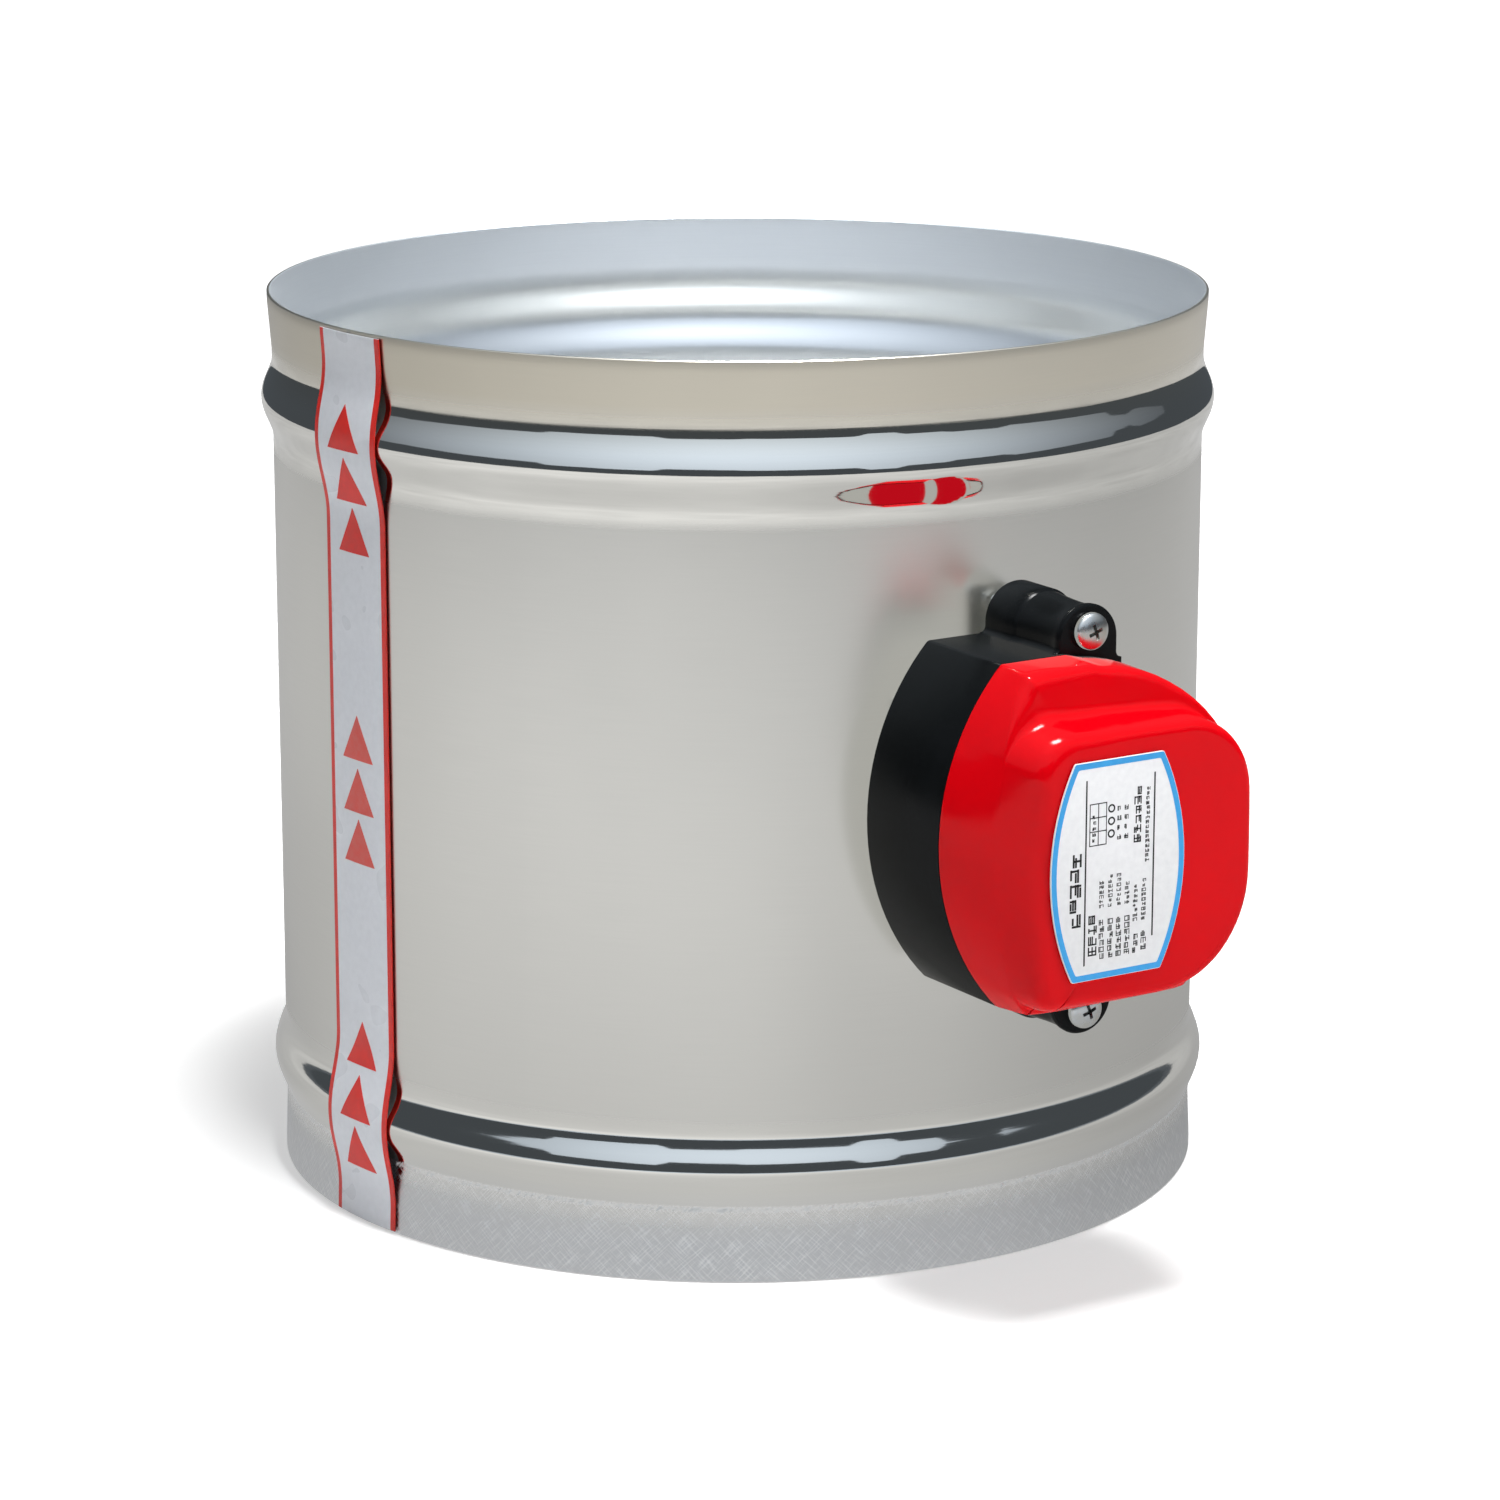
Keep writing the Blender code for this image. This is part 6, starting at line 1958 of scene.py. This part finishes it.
@dataclass
class Studio:
    """Pale floor, soft light, white backdrop and the photograph's camera."""

    lens: float = 123.25
    place: tuple[float, float, float] = (-0.5784, -0.89665, 0.3561)
    heading: Point = (0.533, 0.846)
    pitch: float = math.radians(13.94)
    shift_x: float = 0.0075
    floor_size: float = 9.0
    floor_level: float = -0.0002
    ambient: float = 0.20
    skyline_radius: float = 0.95
    skyline_foot: float = 0.05
    skyline_height: float = 0.26
    skyline_steps: int = 120
    skyline_seed: int = 6
    # Where the floor and the sky are brightest, as metal shows them.
    floor_peak: Point = (-0.814, -0.581)
    sky_peak: Point = (-0.533, -0.846)

    def camera(self) -> None:
        """Set up the camera where the photograph was taken from."""
        data = bpy.data.cameras.new("camera")
        data.sensor_width = 36.0
        data.lens = self.lens
        data.shift_x = self.shift_x
        data.clip_start = 0.05
        data.clip_end = 50.0
        camera = linked("camera", data)
        level = Vector((*self.heading, 0.0)).normalized() * math.cos(self.pitch)
        aim = level + Vector((0.0, 0.0, -math.sin(self.pitch)))
        camera.location = self.place
        camera.rotation_mode = "QUATERNION"
        camera.rotation_quaternion = aim.to_track_quat("-Z", "Y")
        bpy.context.scene.camera = camera

    def towards(self, tree: Tree, where: Socket, peak: Point, low: float, high: float) -> Socket:
        """Return a value that runs from low, away from a bearing, to high at it."""
        flat = add_node(tree, "ShaderNodeVectorMath", {0: where, 1: (1.0, 1.0, 0.0)}, operation="MULTIPLY")
        unit = add_node(tree, "ShaderNodeVectorMath", {0: flat.outputs[0]}, operation="NORMALIZE")
        inputs = {0: unit.outputs[0], 1: (*peak, 0.0)}
        dot = add_node(tree, "ShaderNodeVectorMath", inputs, operation="DOT_PRODUCT")
        known = {"dot": dot.outputs["Value"]}
        steps = (
            ("raised", "MULTIPLY_ADD", "dot", 0.5, 0.5),
            ("share", "POWER", "raised", 2.0),
            ("level", "MULTIPLY_ADD", "share", high - low, low),
        )
        return work_out(tree, known, steps)["level"]

    def damping(self, source: str, result: str) -> tuple[tuple, ...]:
        """Return the steps that dim what metal mirrors onto matt surfaces."""
        return (
            ("bounced", "MINIMUM", "matt_bounces", 1.0),
            ("kept", "MULTIPLY_ADD", "bounced", -0.75, 1.0),
            (result, "MULTIPLY", source, "kept"),
        )

    def world(self) -> None:
        """Light the damper evenly; the camera sees white and metal sees a pale, soft sky."""
        world = bpy.data.worlds.new("studio")
        bpy.context.scene.world = world
        world.use_nodes = True
        tree = world.node_tree
        tree.nodes.clear()
        where = add_node(tree, "ShaderNodeTexCoord").outputs["Generated"]
        path = add_node(tree, "ShaderNodeLightPath")
        known = {
            "camera": path.outputs["Is Camera Ray"],
            "glossy": path.outputs["Is Glossy Ray"],
            "through": path.outputs["Is Transmission Ray"],
            "matt_bounces": path.outputs["Diffuse Depth"],
        }
        work_out(tree, known, (("seen", "MAXIMUM", "camera", "through"),))
        parts = add_node(tree, "ShaderNodeSeparateXYZ", {0: where})
        known |= {"rise": parts.outputs[2], "bearing": self.towards(tree, where, self.sky_peak, 0.10, 1.0)}
        steps = (
            ("up", "MAXIMUM", "rise", 0.0),
            ("overhead", "MULTIPLY", "up", 0.7),
            ("higher", "MULTIPLY", "overhead", "up"),
            ("whole", "ADD", "bearing", "higher"),
            *self.damping("whole", "level"),
        )
        work_out(tree, known, steps)
        inputs = {"Color": linear("#E2EEFC"), "Strength": known["level"]}
        sky = add_node(tree, "ShaderNodeBackground", inputs)
        white = add_node(tree, "ShaderNodeBackground", {"Color": (1.0, 1.0, 1.0, 1.0)})
        soft = add_node(
            tree,
            "ShaderNodeBackground",
            {"Color": (1.0, 1.0, 1.0, 1.0), "Strength": self.ambient},
        )
        first = add_node(
            tree,
            "ShaderNodeMixShader",
            {0: known["glossy"], 1: soft.outputs[0], 2: sky.outputs[0]},
        )
        second = add_node(
            tree,
            "ShaderNodeMixShader",
            {0: known["seen"], 1: first.outputs[0], 2: white.outputs[0]},
        )
        add_node(tree, "ShaderNodeOutputWorld", {0: second.outputs[0]})

    def patches(self, tree: Tree, where: Socket) -> Socket:
        """Return a soft, uneven level, like that of paper laid out by hand."""
        clouds = add_node(tree, "ShaderNodeTexNoise", {"Vector": where, "Scale": 5.0, "Detail": 3.0})
        return spread(tree, clouds.outputs[0], 0.90, 1.08)

    def staged(self, surface: bmesh.types.BMesh, name: str, shader: Node) -> bpy.types.Object:
        """Stage a surface, with a shader that is the last of its material."""
        mesh = as_mesh(surface, name)
        piece = linked(name, mesh)
        add_node(shader.id_data, "ShaderNodeOutputMaterial", {0: shader.outputs[0]})
        mesh.materials.append(bpy.data.materials[name])
        return piece

    def blank_material(self, name: str) -> Tree:
        """Open a material that has no nodes yet."""
        material = bpy.data.materials.new(name)
        material.use_nodes = True
        material.node_tree.nodes.clear()
        return material.node_tree

    def floor(self) -> None:
        """Lay the floor: white to the camera but for the shadow; in metal a painted reflection, with
        painted shadow near the damper.
        """
        surface = bmesh.new()
        bmesh.ops.create_grid(surface, x_segments=1, y_segments=1, size=self.floor_size / 2)
        bmesh.ops.translate(surface, vec=(0.0, 0.0, self.floor_level), verts=surface.verts)
        tree = self.blank_material("pale_floor")
        where = add_node(tree, "ShaderNodeTexCoord").outputs["Object"]
        length = add_node(tree, "ShaderNodeVectorMath", {0: where}, operation="LENGTH")
        distance = length.outputs["Value"]
        path = add_node(tree, "ShaderNodeLightPath")
        known = {
            "camera": path.outputs["Is Camera Ray"],
            "through": path.outputs["Is Transmission Ray"],
            "matt_bounces": path.outputs["Diffuse Depth"],
            # Painted shadow: the floor that metal mirrors dims near the damper; it brightens towards one
            # bearing as painted light.
            "near": spread(tree, distance, 0.70, 1.0, 0.1, 0.45),
            "far": spread(tree, distance, 0.48, 0.98, 0.3, 1.4),
            "towards": self.towards(tree, where, self.floor_peak, 0.59, 0.99),
            "patch": self.patches(tree, where),
        }
        steps = (
            ("seen", "MAXIMUM", "camera", "through"),
            ("glow", "MULTIPLY", "seen", "far"),
            ("even", "MULTIPLY", "near", "towards"),
            ("uneven", "MULTIPLY", "even", "patch"),
            *self.damping("uneven", "mirrored"),
        )
        work_out(tree, known, steps)
        white = (1.0, 1.0, 1.0, 1.0)
        matt = add_node(tree, "ShaderNodeBsdfDiffuse", {"Color": (0.82, 0.82, 0.82, 1.0)})
        lift = add_node(tree, "ShaderNodeEmission", {"Color": white, "Strength": known["glow"]})
        lit = add_node(tree, "ShaderNodeAddShader", {0: matt.outputs[0], 1: lift.outputs[0]})
        shown = add_node(tree, "ShaderNodeEmission", {"Color": white, "Strength": known["mirrored"]})
        either = add_node(
            tree,
            "ShaderNodeMixShader",
            {0: path.outputs["Is Glossy Ray"], 1: lit.outputs[0], 2: shown.outputs[0]},
        )
        self.staged(surface, "pale_floor", either)

    def mirrored_only(self, screen: bpy.types.Object) -> None:
        """Show a staged screen to metal and gloss only."""
        screen.visible_camera = False
        screen.visible_diffuse = False
        screen.visible_transmission = False
        screen.visible_shadow = False

    def tray_card(self, shape: HousingShape) -> None:
        """Fill the tray with a glowing card, a painted reflection of the tones
        that the photograph's metal shows for it.

        The bead over the actuator looks down on it steeply and shows red; the
        plain sheet beside it shows grey.
        """
        reach = shape.lug_screw_offset - shape.lug_rise
        rounds = ((0.0, shape.middle + reach), (math.pi, shape.middle - reach))
        lugs = [
            point
            for start, level in rounds
            for point in arc(0.0066, start, start + math.pi, 20, (shape.lug_across, level))
        ]
        surface = bmesh.new()
        for outline in (shape.outline(2 * FIT_GAP), lugs):
            card = prism(
                "tray_card",
                lambda inset: outline,
                shape.rear + 2 * FIT_GAP,
                shape.parting - 0.0010,
                SHAFT_FRAME,
            )
            surface.from_mesh(card)
            bpy.data.meshes.remove(card)
        tree = self.blank_material("tray_card")
        normal = add_node(tree, "ShaderNodeNewGeometry").outputs["Normal"]
        parts = add_node(tree, "ShaderNodeSeparateXYZ", {0: normal})
        facing = add_node(tree, "ShaderNodeLayerWeight", {"Blend": 0.5})
        known = {"rise": parts.outputs[2], "facing": facing.outputs["Facing"]}
        steps = (
            ("above", "GREATER_THAN", "rise", 0.6),
            ("steep", "LESS_THAN", "facing", 0.56),
            ("red", "MULTIPLY", "above", "steep"),
        )
        work_out(tree, known, steps)
        # Painted reflection: the card glows grey, and red where a reflection looks steeply down on its top.
        grey = add_node(tree, "ShaderNodeEmission", {"Color": linear("#C2C2BE")})
        red = add_node(tree, "ShaderNodeEmission", {"Color": linear("#D41020")})
        inputs = {0: known["red"], 1: grey.outputs[0], 2: red.outputs[0]}
        either = add_node(tree, "ShaderNodeMixShader", inputs)
        self.mirrored_only(self.staged(surface, "tray_card", either))

    def skyline(self) -> None:
        """Stand a low dark screen of uneven height round the set, which only metal and gloss show."""
        chance = random.Random(self.skyline_seed)
        rise = []
        while len(rise) < self.skyline_steps:
            rise += [chance.uniform(0.85, 1.55)] * chance.randint(3, 7)
        surface = bmesh.new()
        rows: list[list[bmesh.types.BMVert]] = [[], []]
        for step in range(self.skyline_steps):
            turn = 2 * math.pi * step / self.skyline_steps
            x = self.skyline_radius * math.cos(turn)
            y = self.skyline_radius * math.sin(turn) + DUCT_AXIS_Y
            rows[0].append(surface.verts.new((x, y, self.skyline_foot)))
            rows[1].append(surface.verts.new((x, y, self.skyline_height * rise[step])))
        for index in range(len(rows[0])):
            after = (index + 1) % len(rows[0])
            surface.faces.new((rows[0][index], rows[0][after], rows[1][after], rows[1][index]))
        tree = self.blank_material("dark_screen")
        grey = add_node(tree, "ShaderNodeEmission", {"Color": linear("#4A4F54")})
        self.mirrored_only(self.staged(surface, "dark_screen", grey))

    def lamp(self, name: str, place: Sequence[float], size: float, power: float, mirrored: bool) -> None:
        """Hang one softbox, aimed at the damper.

        Args:
            name: The lamp's name.
            place: Where it hangs.
            size: Width of its square face.
            power: Its power in watts.
            mirrored: Whether the damper mirrors it.
        """
        data = bpy.data.lights.new(name, "AREA")
        data.size = size
        data.energy = power
        lamp = linked(name, data)
        lamp.location = place
        aim = Vector((0.0, 0.0, 0.10)) - Vector(place)
        lamp.rotation_mode = "QUATERNION"
        lamp.rotation_quaternion = aim.to_track_quat("-Z", "Y")
        lamp.visible_camera = False
        lamp.visible_glossy = mirrored

    def build(self, shape: HousingShape) -> None:
        """Set up the whole studio."""
        self.camera()
        self.world()
        self.floor()
        self.skyline()
        self.tray_card(shape)
        self.lamp("overhead", (-0.04, -0.30, 1.45), 0.36, 28.0, True)
        self.lamp("front", (1.2, -1.5, 0.75), 1.0, 10.8, False)
        bpy.context.scene.view_settings.view_transform = "Standard"


def main() -> None:
    """Build the damper and its studio, piece by piece."""
    logging.basicConfig(level=logging.INFO, format="%(name)s: %(message)s")
    rolling, seating = RollingTree(), SeatingTree()
    shape, base, mounting = HousingShape(), ActuatorBase(), Mounting()
    duct = DuctSection()
    duct.build(rolling, mounting.rivets(shape))
    FlowTape().build(rolling, duct)
    BladeSeats().build()
    Blade().build(seating)
    ShaftLine().build()
    base.build(shape)
    ActuatorCover().build(shape)
    RatingLabel().build()
    mounting.build(shape, base, seating)
    InnerWorks().dress()
    Studio().build(shape)


if __name__ == "__main__":
    main()
